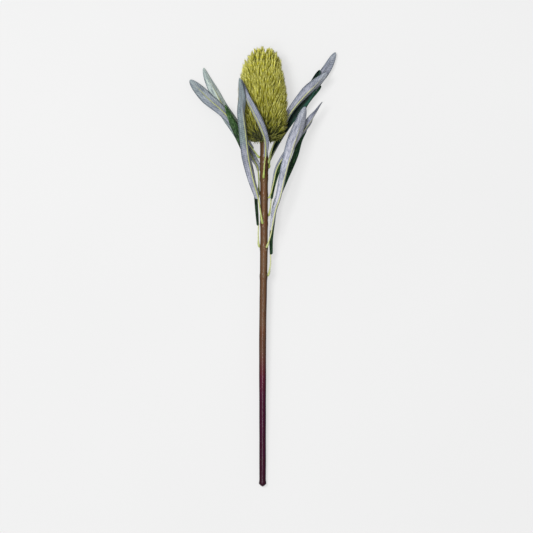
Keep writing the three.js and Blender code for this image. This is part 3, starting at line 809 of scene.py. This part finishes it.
def rib_material():
    """Yellow-green, creamier by the leaf's own number and paler towards the tip, finely streaked."""
    made, tree, shader = new_material("leaf_rib", Roughness=0.5, Specular_IOR_Level=0.4)
    greens = (0.0, 146, 166, 68), (0.12, 178, 196, 94), (0.5, 182, 192, 108), (1.0, 172, 176, 124)
    creams = (0.0, 186, 196, 128), (0.3, 212, 216, 162), (1.0, 206, 208, 172)
    green, cream = (ramp(tree, attribute(tree, "along"), *stops) for stops in (greens, creams))
    colour = mixed(tree, attribute(tree, "cream"), green, cream)
    colour = mixed(tree, attribute(tree, "fading"), colour, linear(138, 142, 150))
    streaks = noise(tree, surface_place(tree), 2.0, 3.0, stretch=(30.0, 1.2, 1.0))
    colour = shaded(tree, colour, streaks, (0.3, 205, 205, 190), (0.65, *WHITE))
    finish_look(tree, shader, colour, streaks, strength=0.3, depth=0.0003)
    return made


ribs_look = rib_material()
print("rib material:", ribs_look.name)

# %% [markdown]
# ### The shape of stalk and rib
#
# The tube needs more rings where its radius changes quickly, at the foot and up the stalk. Past
# the blade's base it keeps to the underside, and it thins until it merges with the felt.

# %% Build the ribs
RIB_SIDES = 14
RIB_ROWS = 130
STALK_ROWS = 45
STALK_ROWS_TOWARDS_BLADE = 1.4
RIB_END = 0.97
MERGING = (0.62, 0.95)
RIB_SINK = 0.25
FOOT_SINK = 1.1


def rib_piece(name, midrib):
    """Centre lifted off the blade by its half thickness; radius slims from stalk to tip.

    The foot swells by smoothstep between 0.55 and 0.95 of the stalk's length towards the stem,
    and the rib thins away by a root of smoothstep between 0.7 of the blade and its end.
    """
    up_stalk = np.linspace(0, 1, STALK_ROWS, endpoint=False)
    on_stalk = -((1 - up_stalk) ** STALK_ROWS_TOWARDS_BLADE)
    on_blade = np.linspace(0, RIB_END, RIB_ROWS - STALK_ROWS)
    share = np.concatenate([on_stalk, on_blade])
    centre, across, outward = midrib.frame(share)
    slim = STALK_RADIUS + (RIB_TIP_RADIUS - STALK_RADIUS) * np.maximum(share, 0)
    fading = np.sqrt(1 - smoothstep(share, 0.7, RIB_END) * RIB_END)
    swollen = (FOOT_RADIUS - STALK_RADIUS) * smoothstep(-share, 0.55, 0.95)
    rounded = np.sqrt(1 - 0.75 * smoothstep(-share, 0.95, 1.0))
    radius = (slim + swollen) * fading * rounded
    lift = SOLID_BLADE_THICKNESS / 2 / math.cos(midrib.fold) + slim * fading - RIB_SINK
    centre = centre + outward * (lift * smoothstep(share, -0.45, 0))[:, None]
    clasp = FOOT_SINK * smoothstep(-share, 0.8, 1.0)
    centre = centre - midrib.away * clasp[:, None]
    radii = np.repeat(radius[:, None], RIB_SIDES, 1)
    points = tube_points(centre, radii, across, outward, RIB_SIDES)
    quads, triangles = tube_faces(len(share), RIB_SIDES)
    along = (share + 1) / 2
    steps = np.linalg.norm(np.diff(centre, axis=0), axis=1)
    distance = np.concatenate([[0], np.cumsum(steps)]) / CM
    turn = np.abs(np.linspace(-1, 1, RIB_SIDES, endpoint=False))
    uv = np.stack(np.broadcast_arrays(turn[None, :], distance[:, None]), -1).reshape(-1, 2)
    uv = np.concatenate([uv, [[0, 0], [0, distance[-1]]]])
    numbers = np.concatenate([np.repeat(along, RIB_SIDES), along[[0, -1]]])
    merging = smoothstep(share, *midrib.leaf.get("merging", MERGING))
    attributes = {
        "along": numbers,
        "cream": np.full(len(points), midrib.leaf["cream"]),
        "fading": np.concatenate([np.repeat(merging, RIB_SIDES), merging[[0, -1]]]),
    }
    piece = make_piece(name + "_stalk_and_rib", points, quads, triangles, attributes, uv)
    give(piece, ribs_look)
    return piece


for name, midrib in midribs.items():
    piece = rib_piece(name, midrib)
    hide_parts(name + "_rib")
    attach(piece, "root")
print("ribs:", len(midribs), "with", RIB_SIDES, "sides")

# %% [markdown]
# ## The stem
#
# The real stem is a smooth satin rod, olive brown for most of its length and maroon towards the
# cut end, where it swells a little and closes in a blunt cone. Faint lengthwise lines run along it
# and a small pale scar sits below each foot. A tube with many sides keeps its outline round, and
# the relief that a hand would feel, the swellings and slow unevenness, is in its radius. Its
# flanks are painted darker than its top, as shade, and a thin clear coat gives it a narrow gloss.

# %% Stem material


def stem_material():
    """Colour by height along Y, with lengthwise streaks, small blotches, painted shade on the flanks
    and the pale scars.
    """
    made, tree, shader = new_material(
        "stem_bark", Roughness=0.5, Specular_IOR_Level=0.08, Coat_Weight=0.28, Coat_Roughness=0.18
    )
    place = object_place(tree)
    height = add(tree, "SeparateXYZ", {0: place}).outputs["Y"]
    share = add(tree, "MapRange", {"Value": height, "From Min": -0.31, "From Max": 0.19})
    colour = ramp(
        tree, share.outputs[0],
        (0.0, 54, 0, 36), (0.24, 62, 0, 42), (0.31, 82, 20, 46), (0.38, 98, 66, 50),
        (0.55, 110, 84, 60), (0.75, 110, 80, 54), (0.92, 102, 76, 48), (1.0, 96, 74, 44),
    )
    streaks = noise(tree, place, detail=4.0, stretch=(520.0, 9.0, 520.0))
    colour = shaded(tree, colour, streaks, (0.28, 178, 172, 168), (0.6, *WHITE), strength=0.8)
    cloud = noise(tree, place, 70.0, 3.0)
    colour = shaded(tree, colour, cloud, (0.4, *WHITE), (0.75, 255, 226, 206))
    # Painted shade: the flanks are darker than the top.
    painted_flank_shade = (0.5, 190, 182, 178), (0.85, 206, 200, 197), (1.0, *WHITE)
    colour = shaded(tree, colour, attribute(tree, "upness_for_painted_shade"), *painted_flank_shade)
    colour = mixed(tree, attribute(tree, "scar"), colour, linear(196, 176, 146))
    fine = noise(tree, place, 900.0, 3.0)
    relief = maths(tree, "MULTIPLY_ADD", fine, 0.4, streaks)
    finish_look(tree, shader, colour, relief, strength=0.15, depth=0.0004)
    return made


bark = stem_material()
print("stem material:", bark.name)

# %% [markdown]
# ### The rod
#
# The same tube helper that made the ribs makes the rod. Its radius is a profile along the axis, and
# low ridges and scars are added to it round the stem.

# %% Build the stem
STEM_SIDES = 56
STEM_ROWS = 620
SCAR_OFFSET = 3.2
SCAR_LENGTH = 1.6
SCAR_WIDTH = 1.3
SCAR_RELIEF = 0.12
SCAR_PALENESS = 0.25
SLOW_WAVES = ((0.05, 9.1, 0), (0.04, 23.7, 1.3))
RIDGES = ((0.04, 5, 0.4), (0.03, 9, 1.7))
RIDGES_START = (12, 30)
BULB_HEIGHTS = np.array([0, 0.15, 0.35, 0.6, 0.8, 0.92, 1.0, 1.15, 1.35, 1.6, 2.0, 2.6])
BULB_WIDTHS = np.array([0.12, 0.34, 0.55, 0.76, 0.9, 0.97, 1.0, 1.01, 1.0, 0.97, 0.91, 0.875])


def stem_piece():
    """The solid's rings, finer: the blunt cone, the bulb, the neck, and the swollen taper."""
    end_y = CUT_END_Y + END_CONE_LENGTH * BULB_HEIGHTS
    top = HEAD_BASE_Y + SOCKET_DEPTH - GAP
    body_y = np.linspace(end_y[-1] + 1.0, top, STEM_ROWS)
    y = np.concatenate([end_y, body_y])
    uneven = sum(size * np.sin(body_y / pace + shift) for size, pace, shift in SLOW_WAVES)
    radius = np.concatenate([END_BULB_RADIUS * BULB_WIDTHS, stem_radius(body_y) + uneven])
    angle = 2 * np.pi * np.arange(STEM_SIDES) / STEM_SIDES
    ridges = sum(size * np.sin(pace * angle + shift) for size, pace, shift in RIDGES)
    low, high = RIDGES_START
    radii = radius[:, None] + ridges * smoothstep(y, CUT_END_Y + low, CUT_END_Y + high)[:, None]
    centres = stem_axis(y)
    scar = np.zeros((len(y), STEM_SIDES))
    for leaf in LEAVES.values():
        foot, turn = leaf["foot"]
        facing = np.pi / 2 - math.radians(turn)
        around = np.angle(np.exp(1j * (angle - facing))) * STEM_RADIUS_TOP / SCAR_WIDTH
        below = (y - (foot - SCAR_OFFSET)) / SCAR_LENGTH
        spot = np.exp(-(below[:, None] ** 2) - around[None, :] ** 2)
        scar = np.maximum(scar, spot)
    radii = radii + SCAR_RELIEF * scar
    across = np.repeat([[1.0, 0.0, 0.0]], len(y), 0)
    upward = np.repeat([[0.0, 0.0, 1.0]], len(y), 0)
    points = tube_points(centres, radii, across, upward, STEM_SIDES)
    quads, triangles = tube_faces(len(y), STEM_SIDES)
    marks = smoothstep(scar, 0.35, 0.8) * SCAR_PALENESS
    # How far a ring point lies towards the top; the material paints the flanks darker by it, as
    # shade.
    upness_for_painted_shade = np.broadcast_to(0.5 + 0.5 * np.sin(angle), radii.shape)
    attributes = {
        "scar": np.concatenate([marks.ravel(), [0, 0]]),
        "upness_for_painted_shade": np.concatenate([upness_for_painted_shade.ravel(), [0.5, 0.5]]),
    }
    return make_piece("stem_rod", points, quads, triangles, attributes)


stem = stem_piece()
give(stem, bark)
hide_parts("stem")
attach(stem, "root")
print("stem faces:", len(stem.data.polygons))

# %% [markdown]
# ## The flower head
#
# The head is a dense brush. Its bristles hang a little at the base, lean up along the sides and
# stand at the top, so that from the front they fan out like a herringbone. They are set on a
# golden-angle spiral, which spreads any number evenly. A third of them stay deep, in locks, and
# are painted darker as shade; the tips of the rest are drawn together into clumps at the head's
# outline, which is fuller at the shoulders, most of all on the right. A few strays hang out at the
# base. Each bristle is rooted in a hidden core, stops short of a leaf, and lies down where it meets
# the surface.

# %% The head's outline and bristle directions
head_base = np.array([HEAD_AXIS_X, HEAD_BASE_Y, HEAD_AXIS_Z])
head_axis = unit(np.array([HEAD_LEAN_X, HEAD_LENGTH, HEAD_LEAN_Z]))
head_across = unit(np.cross(head_axis, UP))
head_above = np.cross(head_across, head_axis)


def head_radius(share):
    """R sqrt((1 - b^4)(1 - o^3)), with b and o the distance below and above the widest place."""
    below = np.maximum(HEAD_WIDEST - share, 0) / HEAD_WIDEST
    over = np.maximum(share - HEAD_WIDEST, 0) / (1 - HEAD_WIDEST)
    return HEAD_RADIUS * np.sqrt(np.maximum(1 - below**4, 0) * np.maximum(1 - over**3, 0))


def head_point(share, radius, angle):
    """A point at a height on the axis and a radius and angle round it."""
    along = (share * HEAD_LENGTH)[..., None] * head_axis
    right = (radius * np.cos(angle))[..., None] * head_across
    above = (radius * np.sin(angle))[..., None] * head_above
    return head_base + along + right + above


def core_radius(share):
    """The outline less the depth that bristles stand out of the core, and no less than its top."""
    return np.maximum(head_radius(share) - CORE_DEPTH, CORE_TOP_RADIUS)


def bristle_lean(share):
    """How steeply a bristle leans up: it hangs at the base, and nearly stands at the top."""
    places = [0.0, 0.04, 0.12, 0.3, 0.5, 0.75, 0.9, 1.0]
    return np.interp(share, places, [-0.4, 0.1, 0.58, 0.92, 1.04, 1.14, 1.25, 1.45])


def even_shares(count, steps=2000):
    """Heights with the same area of the outline between each two."""
    edges = np.linspace(0, 1, steps + 1)
    middle = (edges[1:] + edges[:-1]) / 2
    slope = np.diff(head_radius(edges)) * steps
    area = np.concatenate([[0], np.cumsum(head_radius(middle) * np.hypot(HEAD_LENGTH, slope))])
    return np.interp((np.arange(count) + 0.5) / count * area[-1], area, edges)


random = np.random.default_rng(11)


def tufts(points, shortest, longest, count=12):
    """Smooth unevenness: a sum of sines over random directions, each so many millimetres long."""
    directions = unit(random.normal(size=(count, 3)))
    waves = directions * (2 * np.pi / random.uniform(shortest, longest, count))[:, None]
    phases = random.uniform(0, 2 * np.pi, count)
    return np.sin(points @ waves.T + phases).sum(-1) / math.sqrt(count)


print("the head leans from x =", HEAD_AXIS_X, "by", HEAD_LEAN_X, "mm to its top")

# %% [markdown]
# ### Laying out the tips
#
# A real head is even from afar and uneven from near. So the tips start on an even spiral, and then
# seeded random numbers move them: each a little, whole tufts and locks together, and towards the
# middle of its clump. Each line works on all bristles at once.

# %% Lay out the bristles
BRISTLES = 9600
DEEP_SHARE = 0.34
LOCK_SIZES = (3, 6)
CLUMPS = 1100
CLUMPING = (0.22, 0.6)
CLUMP_HEIGHTS = (-1.6, 3.6)
TUFT_HEIGHT = 1.5
SHOULDER_HEIGHT = 2.2
FULL_SIDE_HEIGHT = 4.5
FULL_SIDE_PULL = 4
ANGLE_JITTER = 0.1
LEAN_JITTER = 0.3
STRAYS_BELOW = 0.05
STRAY_CHANCE = 0.16
STRAY_DROOP = 0.8
STRAY_HEIGHTS = (1, 8)
TUFT_SIZES = (8, 20)
TIP_HEIGHT = 1.2
TIP_RAGGEDNESS = 3.4
DEEP_DROP = 3.8
LOCK_RAGGEDNESS = 0.5
LOCK_LIGHT = 0.45
TOP_LIGHT = 0.48
DARKER = 0.06
CROWN_THINNING = 0.5
CROWN_SPREAD = 0.9
CROWN_DROP = 3.2

share = even_shares(BRISTLES)
angle = np.arange(BRISTLES) * GOLDEN_ANGLE
angle = angle + ANGLE_JITTER * (random.random(BRISTLES) - 0.5)
lean = bristle_lean(share) + LEAN_JITTER * (random.random(BRISTLES) - 0.5)
strays = (share < STRAYS_BELOW) & (random.random(BRISTLES) < STRAY_CHANCE)
lean = np.where(strays, lean - STRAY_DROOP, lean)
out = head_point(np.zeros(BRISTLES), np.ones(BRISTLES), angle) - head_base
direction = out * np.cos(lean)[:, None] + head_axis * np.sin(lean)[:, None]
on_outline = head_point(share, head_radius(share), angle)
shoulder = smoothstep(share, 0.78, 0.9) * (1 - smoothstep(share, 0.96, 1.0))
full_side = smoothstep(share, 0.76, 0.87) * (1 - smoothstep(share, 0.96, 1.0))
full_side = full_side * smoothstep(np.cos(angle), 0.1, 0.8)
depth = tufts(on_outline, *LOCK_SIZES) + LOCK_RAGGEDNESS * random.normal(size=BRISTLES)
deep = depth < np.quantile(depth, DEEP_SHARE)
brightness = LOCK_LIGHT * tufts(on_outline, *LOCK_SIZES)
brightness = brightness + TOP_LIGHT * smoothstep(share, 0.5, 1.0) - DARKER
proud = TUFT_HEIGHT * tufts(on_outline, *TUFT_SIZES) + SHOULDER_HEIGHT * shoulder
proud = proud + FULL_SIDE_HEIGHT * full_side + TIP_HEIGHT
proud = proud - TIP_RAGGEDNESS * random.random(BRISTLES) - DEEP_DROP * deep
proud = proud + random.uniform(*STRAY_HEIGHTS, BRISTLES) * strays
tip = on_outline + direction * proud[:, None]
clump_share = even_shares(CLUMPS)
clump_angle = np.arange(CLUMPS) * GOLDEN_ANGLE
crowned = smoothstep(clump_share, 0.7, 0.92)
spread = random.random(CLUMPS) > CROWN_THINNING * crowned
height = random.uniform(*CLUMP_HEIGHTS, CLUMPS) * (1 + CROWN_SPREAD * crowned)
height = height - CROWN_DROP * crowned
clumps = head_point(clump_share, head_radius(clump_share), clump_angle)[spread]
height = height[spread][:, None]
nearest = ((on_outline[:, None] - clumps[None]) ** 2).sum(-1).argmin(1)
goal_height = proud.mean() + height[nearest] + full_side[:, None] * FULL_SIDE_PULL
goal = clumps[nearest] + direction * goal_height
pull = CLUMPING[0] + (CLUMPING[1] - CLUMPING[0]) * smoothstep(share, 0.7, 0.9)
tip = tip + (goal - tip) * (pull * (1 - deep))[:, None]
print("bristles laid out:", len(share), "in clumps:", CLUMPS)

# %% [markdown]
# ### Roots and clear tips
#
# From its tip each bristle is followed back, half a millimetre at a time, until it is inside the
# core: that is its root. Then points along it are compared with points on the leaves and the stem,
# and it is cut where it would come too near. All bristles are followed at once, as one array.

# %% What bristles root in and keep clear of


def inside_core(points):
    """Whether points lie well inside the core."""
    from_base = points - head_base
    along = from_base @ head_axis
    place = along / HEAD_LENGTH
    radius = np.sqrt(np.maximum((from_base**2).sum(-1) - along**2, 0))
    low, high = CORE_START / HEAD_LENGTH, 1 - CORE_DEPTH / HEAD_LENGTH
    return (place > low) & (place < high) & (radius < core_radius(place) - 1)


def near_leaves():
    """Points over every blade and rib, and points up the stem below the head."""
    shares, sides = np.meshgrid(np.linspace(0, 1, 120), np.linspace(-1, 1, 11), indexing="ij")
    points = []
    for midrib in midribs.values():
        points.append(midrib.surface(shares, sides).reshape(-1, 3))
        centre, _, outward = midrib.frame(np.linspace(-1, 1, 200))
        points.append(centre + outward)
    return np.concatenate(points), stem_axis(np.arange(HEAD_BASE_Y - 30, HEAD_BASE_Y + 4, 1.0))


GRID_LOW = np.array([-65, 140, -15])
GRID_CELLS = np.array([130, 195, 115])


def cells_of(points):
    """The whole millimetre cell of each point, held inside the grid."""
    return np.clip(np.rint(points - GRID_LOW).astype(int), 0, GRID_CELLS - 1)


def mark(grid, points, distance):
    """Sets every cell that lies within the distance of a point."""
    steps = np.arange(-math.ceil(distance), math.ceil(distance) + 1)
    ball = np.stack(np.meshgrid(steps, steps, steps), -1).reshape(-1, 3)
    ball = ball[np.linalg.norm(ball, axis=1) <= distance + 0.3]
    inside = ((points > GRID_LOW) & (points < GRID_LOW + GRID_CELLS)).all(1)
    cells = cells_of((points[inside][:, None] + ball).reshape(-1, 3))
    grid[tuple(cells.T)] = True


print("points to keep clear of:", sum(len(points) for points in near_leaves()))

# %% [markdown]
# ### Cutting each bristle to length
#
# The places near leaves and stem are marked in a grid of one millimetre cells, which is quicker to
# ask than thousands of distances. Some bristles low on the head are left out, so that it is looser.

# %% Root the bristles and keep them clear
LEAF_CLEARANCE = 1.3
SHORTEST_BRISTLE = 6
LONGEST_BRISTLE = 42
CLEAR_SHARE = 0.03
THINNING = 0.3

lengths = np.arange(8, LONGEST_BRISTLE, 0.5)
probes = tip[:, None] - direction[:, None] * lengths[None, :, None]
rooted = inside_core(probes)
length = lengths[rooted.argmax(1)]
root = tip - direction * length[:, None]
taken = np.zeros(GRID_CELLS, bool)
on_leaves, on_stem = near_leaves()
mark(taken, on_leaves, LEAF_CLEARANCE)
mark(taken, on_stem, STEM_RADIUS_TOP + 1)
checks = np.linspace(0.2, 1, 40)
paths = root[:, None] + direction[:, None] * (length[:, None, None] * checks[None, :, None])
hit = taken[tuple(np.moveaxis(cells_of(paths), -1, 0))]
clear_to = np.where(hit.any(1), checks[hit.argmax(1)] - CLEAR_SHARE, 1.0)
reach = length * clear_to
thinned = random.random(BRISTLES) < THINNING * (1 - smoothstep(share, 0.25, 0.6))
kept = rooted.any(1) & (reach > SHORTEST_BRISTLE) & ~thinned
root, direction, reach, share, deep, brightness, angle = (
    values[kept] for values in (root, direction, reach, share, deep, brightness, angle)
)
print("bristles kept:", int(kept.sum()), "shortened:", int((clear_to[kept] < 1).sum()))

# %% [markdown]
# ### Bristle material
#
# A bristle is olive at its root and yellow-green at its tip, and no two are quite alike. Three
# numbers on the mesh carry this: how far up the bristle a point is, the bristle's own tone, which
# differs more on the head's right and holds the painted shade of deep bristles, and how much
# painted shade it takes near the head's base.

# %% Bristle material


def bristle_material():
    """Olive root to yellow-green tip, lighter or darker by the bristle's own tone, with painted
    shade towards the head's base.
    """
    made, tree, shader = new_material(
        "bristle", Roughness=0.62, Specular_IOR_Level=0.3, Sheen_Weight=0.1
    )
    dark = (0.38, 46, 50, 4), (0.64, 106, 105, 12), (0.9, 178, 172, 38)
    light = (0.38, 88, 92, 8), (0.64, 218, 212, 48), (0.9, 255, 253, 156)
    low, high = (ramp(tree, attribute(tree, "along"), *stops) for stops in (dark, light))
    colour = mixed(tree, attribute(tree, "tone"), low, high)
    fine = noise(tree, object_place(tree), 600.0)
    colour = shaded(tree, colour, fine, (0.3, 215, 215, 205), (0.7, *WHITE))
    # Painted shade: darker olive towards the head's base, and on the core.
    colour = mixed(tree, attribute(tree, "shade"), colour, linear(52, 66, 20))
    finish_look(tree, shader, colour, fine, strength=0.25, depth=0.0003)
    return made


bristle_look = bristle_material()
print("bristle material:", bristle_look.name)

# %% [markdown]
# ### The bristles as meshes
#
# A bristle is a spike of five sides and seventeen points, bent a little on its way. One block of
# points is worked out for all of them, and the faces of one spike are shifted along for the rest.
# The head is made in three pieces, by height, so that each stays light.

# %% Build the bristles
BRISTLE_SIDES = 5
BRISTLE_RADIUS = 0.66
BRISTLE_PLACES = np.array([0.0, 0.5, 0.8])
BRISTLE_SWAY = 0.7
BRISTLE_RISE = (-0.4, 1.4)
BRISTLE_THICKNESSES = (0.8, 1.15)
FLOOR_CLEARANCE = 0.05
SIDE_CONTRAST = 1.1
TONE_SPREAD = 0.3
DEEP_PAINTED_SHADE = 0.35
BASE_SHADE = 0.65


def bristle_piece(name, chosen):
    """Spikes: centre = root + d t L + (sway - rise) sin(pi t), radius R (1.02 - t^2.5)."""
    at = np.append(BRISTLE_PLACES, 1.0)
    start, way, far = root[chosen], direction[chosen], reach[chosen]
    count = len(start)
    sideways = unit(np.cross(way, head_axis + 0.01))
    sway = random.normal(0, BRISTLE_SWAY, count)[:, None] * sideways
    rise = head_axis * random.uniform(*BRISTLE_RISE, count)[:, None]
    centres = start[:, None] + way[:, None] * (far[:, None] * at)[..., None]
    centres = centres + sway[:, None] * np.sin(np.pi * at)[None, :, None]
    centres = centres - rise[:, None] * np.sin(np.pi * at)[None, :, None]
    size = BRISTLE_RADIUS * random.uniform(*BRISTLE_THICKNESSES, count)
    radii = size[:, None] * (1.02 - at**2.5)
    centres[..., 2] = np.maximum(centres[..., 2], radii + FLOOR_CLEARANCE)
    upward = np.cross(way, sideways)
    turn = 2 * np.pi * np.arange(BRISTLE_SIDES) / BRISTLE_SIDES
    right = sideways[:, None] * np.cos(turn)[None, :, None]
    spokes = right + upward[:, None] * np.sin(turn)[None, :, None]
    rings = centres[:, :-1, None] + radii[:, :-1, None, None] * spokes[:, None]
    block = np.concatenate([rings.reshape(count, -1, 3), centres[:, -1:], centres[:, :1]], 1)
    size_of_one = block.shape[1]
    rows = len(BRISTLE_PLACES)
    quads, triangles = tube_faces(rows, BRISTLE_SIDES)
    last = rows * BRISTLE_SIDES
    swapped = np.array([last + 1, last])
    triangles = np.where(triangles >= last, swapped[np.clip(triangles - last, 0, 1)], triangles)
    shift = (np.arange(count) * size_of_one)[:, None, None]
    all_quads = (quads[None] + shift).reshape(-1, 4)
    all_triangles = (triangles[None] + shift).reshape(-1, 3)
    places = np.concatenate([np.repeat(BRISTLE_PLACES, BRISTLE_SIDES), [1.0, 0.0]])
    contrast = 1 + SIDE_CONTRAST * smoothstep(np.cos(angle[chosen]), -0.1, 0.9)
    # Deep bristles are painted darker, as shade between the bristles.
    own_tone = TONE_SPREAD * random.normal(size=count) - DEEP_PAINTED_SHADE * deep[chosen]
    tone = np.clip(0.5 + contrast * own_tone + brightness[chosen], 0, 1)
    # Painted shade, strongest at the head's base.
    base = BASE_SHADE * (1 - smoothstep(share[chosen], 0.0, 0.5))
    attributes = {
        "along": np.tile(places, count),
        "tone": np.repeat(tone, size_of_one),
        "shade": np.repeat(base, size_of_one),
    }
    return make_piece(name, block.reshape(-1, 3), all_quads, all_triangles, attributes)


parts = {
    "bristles_low": share < 0.32,
    "bristles_middle": (share >= 0.32) & (share < 0.62),
    "bristles_high": share >= 0.62,
}
for name, chosen in parts.items():
    piece = bristle_piece(name, chosen)
    give(piece, bristle_look)
    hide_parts("flower_head")
    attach(piece, "root")
    print(name, int(chosen.sum()), "bristles,", len(piece.data.polygons), "faces")

# %% [markdown]
# ### The core
#
# Between the bristles the eye should meet more bristle, and then darkness. A spindle in the
# bristles' dark olive, with a little painted shade, closes the view through the brush.

# %% The core under the bristles
CORE_RINGS = 60
CORE_SIDES = 60


def core_piece():
    """A spindle just inside the solid's core, with a low relief of knobs where bristles root."""
    low, high = CORE_START / HEAD_LENGTH, 1 - CORE_DEPTH / HEAD_LENGTH
    places = np.linspace(low, high, CORE_RINGS)
    turn = 2 * np.pi * np.arange(CORE_SIDES) / CORE_SIDES
    knobs = 0.4 * np.sin(9 * turn[None] + 60 * places[:, None]) * np.sin(140 * places[:, None])
    radii = core_radius(places)[:, None] + knobs
    centres = head_point(places, np.zeros(CORE_RINGS), np.zeros(CORE_RINGS))
    across = np.repeat(head_across[None], CORE_RINGS, 0)
    above = np.repeat(head_above[None], CORE_RINGS, 0)
    points = tube_points(centres, radii, across, above, CORE_SIDES)
    quads, triangles = tube_faces(CORE_RINGS, CORE_SIDES)
    # The core takes the bristles' root colour and a little painted shade.
    flat = {"along": 0.42, "tone": 0.4, "shade": 0.3}
    attributes = {key: np.full(len(points), value) for key, value in flat.items()}
    return make_piece("head_core", points, quads, triangles, attributes)


core = core_piece()
give(core, bristle_look)
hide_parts("flower_head")
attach(core, "root")
print("core faces:", len(core.data.polygons))

# %% [markdown]
# ## The surface
#
# The photograph is a plain studio picture on pale grey. A floor lit by lamps alone would carry
# strong shadows, so this one glows as well, mainly for the camera, and the lamps add the rest.

# %% Floor
FLOOR_SIZE = 8.0
FLOOR_SHADE = 0.22
FLOOR_GLOW = 0.6
FLOOR_SPILL = 0.4
FLOOR_CLOUDS = 0.004
FLOOR_DROP = 0.0002


def floor_material():
    """Matt grey with a glow, as on a light table; the glow is weaker for all but the camera."""
    made, tree, shader = new_material(
        "studio_floor", Roughness=0.9, Specular_IOR_Level=0.1, Emission_Strength=FLOOR_GLOW
    )
    seen_directly = add(tree, "LightPath").outputs["Is Camera Ray"]
    glow = add(tree, "MapRange", {"Value": seen_directly, "To Min": FLOOR_SPILL, "To Max": 1.0})
    tree.links.new(glow.outputs[0], shader.inputs["Emission Color"])
    cloud = noise(tree, object_place(tree), 3.0)
    low, high = FLOOR_SHADE - FLOOR_CLOUDS, FLOOR_SHADE + FLOOR_CLOUDS
    spread = {"Value": cloud, "From Min": 0.3, "From Max": 0.7, "To Min": low, "To Max": high}
    tree.links.new(add(tree, "MapRange", spread).outputs[0], shader.inputs["Base Color"])
    return made


def add_floor():
    """One large square just under the lowest point."""
    half = FLOOR_SIZE / 2
    corners = [(-half, -half), (half, -half), (half, half), (-half, half)]
    mesh = bpy.data.meshes.new("studio_floor")
    mesh.from_pydata([(x, y, -FLOOR_DROP) for x, y in corners], [], [(0, 1, 2, 3)])
    floor = bpy.data.objects.new("studio_floor", mesh)
    bpy.context.collection.objects.link(floor)
    give(floor, floor_material())


add_floor()
print("floor:", FLOOR_SIZE, "m wide")

# %% [markdown]
# ## Light
#
# The light in the photograph is soft and comes from the upper left, so that the shadows fall
# faintly to the lower right. A broad key light, a weaker strip nearly overhead and a sky that is
# brightest at its top give that. Past the floor's edge the camera sees a backdrop of like
# brightness.

# %% Sky and lights
KEY_PLACE = (-1.26, 0.96, 3.8)
KEY_SIZE = (1.35, 1.35)
KEY_POWER = 124.0
STRIP_PLACE = (-0.55, -0.6, 4.0)
STRIP_SIZE = (0.6, 1.4)
STRIP_POWER = 38.0
SKY_AT_HORIZON = 0.2
SKY_AT_ZENITH = 0.5
BACKDROP = 0.88


def add_area_light(name, place, size, power):
    """A flat light, so wide and so long, that looks from its place at the middle of the floor."""
    data = bpy.data.lights.new(name, "AREA")
    data.shape = "RECTANGLE"
    data.size, data.size_y = size
    data.energy = power
    light = bpy.data.objects.new(name, data)
    light.location = place
    light.rotation_euler = (-Vector(place)).to_track_quat("-Z", "Y").to_euler()
    bpy.context.collection.objects.link(light)


def add_sky():
    """A white dome that is brightest overhead, as under a large softbox."""
    world = bpy.data.worlds.new("studio_sky")
    bpy.context.scene.world = world
    world.use_nodes = True
    tree = world.node_tree
    height = add(tree, "SeparateXYZ", {0: add(tree, "TexCoord").outputs["Generated"]}).outputs["Z"]
    spread = {"Value": height, "To Min": SKY_AT_HORIZON, "To Max": SKY_AT_ZENITH}
    background = tree.nodes["Background"]
    background.inputs["Color"].default_value = (1, 1, 1, 1)
    from_sky = add(tree, "MapRange", spread).outputs[0]
    seen_directly = add(tree, "LightPath").outputs["Is Camera Ray"]
    seen = {"Value": seen_directly, "To Min": from_sky, "To Max": BACKDROP}
    tree.links.new(add(tree, "MapRange", seen).outputs[0], background.inputs["Strength"])


add_sky()
add_area_light("key", KEY_PLACE, KEY_SIZE, KEY_POWER)
add_area_light("strip", STRIP_PLACE, STRIP_SIZE, STRIP_POWER)
bpy.context.scene.view_settings.view_transform = "Standard"

# %% [markdown]
# ## The camera
#
# It hangs six metres up, straight above, with a long lens, which draws the raised head and the low
# cut end at nearly the same scale.

# %% Camera
CAMERA_HEIGHT = 6.0
SUBJECT_HEIGHT = 0.02
PICTURE_WIDTH = 0.7505
PICTURE_CENTRE = (0.0051, 0.0004)
SENSOR_WIDTH = 36.0


def add_camera():
    """The lens that shows the picture's width at the subject's height: f = sensor d / width."""
    data = bpy.data.cameras.new("camera")
    data.sensor_width = SENSOR_WIDTH
    data.lens = SENSOR_WIDTH * (CAMERA_HEIGHT - SUBJECT_HEIGHT) / PICTURE_WIDTH
    data.clip_end = 50
    camera = bpy.data.objects.new("camera", data)
    camera.location = (*PICTURE_CENTRE, CAMERA_HEIGHT)
    bpy.context.collection.objects.link(camera)
    bpy.context.scene.camera = camera
    return camera


camera = add_camera()
print("lens:", round(camera.data.lens, 1), "mm")

# %% [markdown]
# ## Finish

# The dressed model has to stay inside the solids' box.

# %% Finish
bpy.context.view_layer.update()
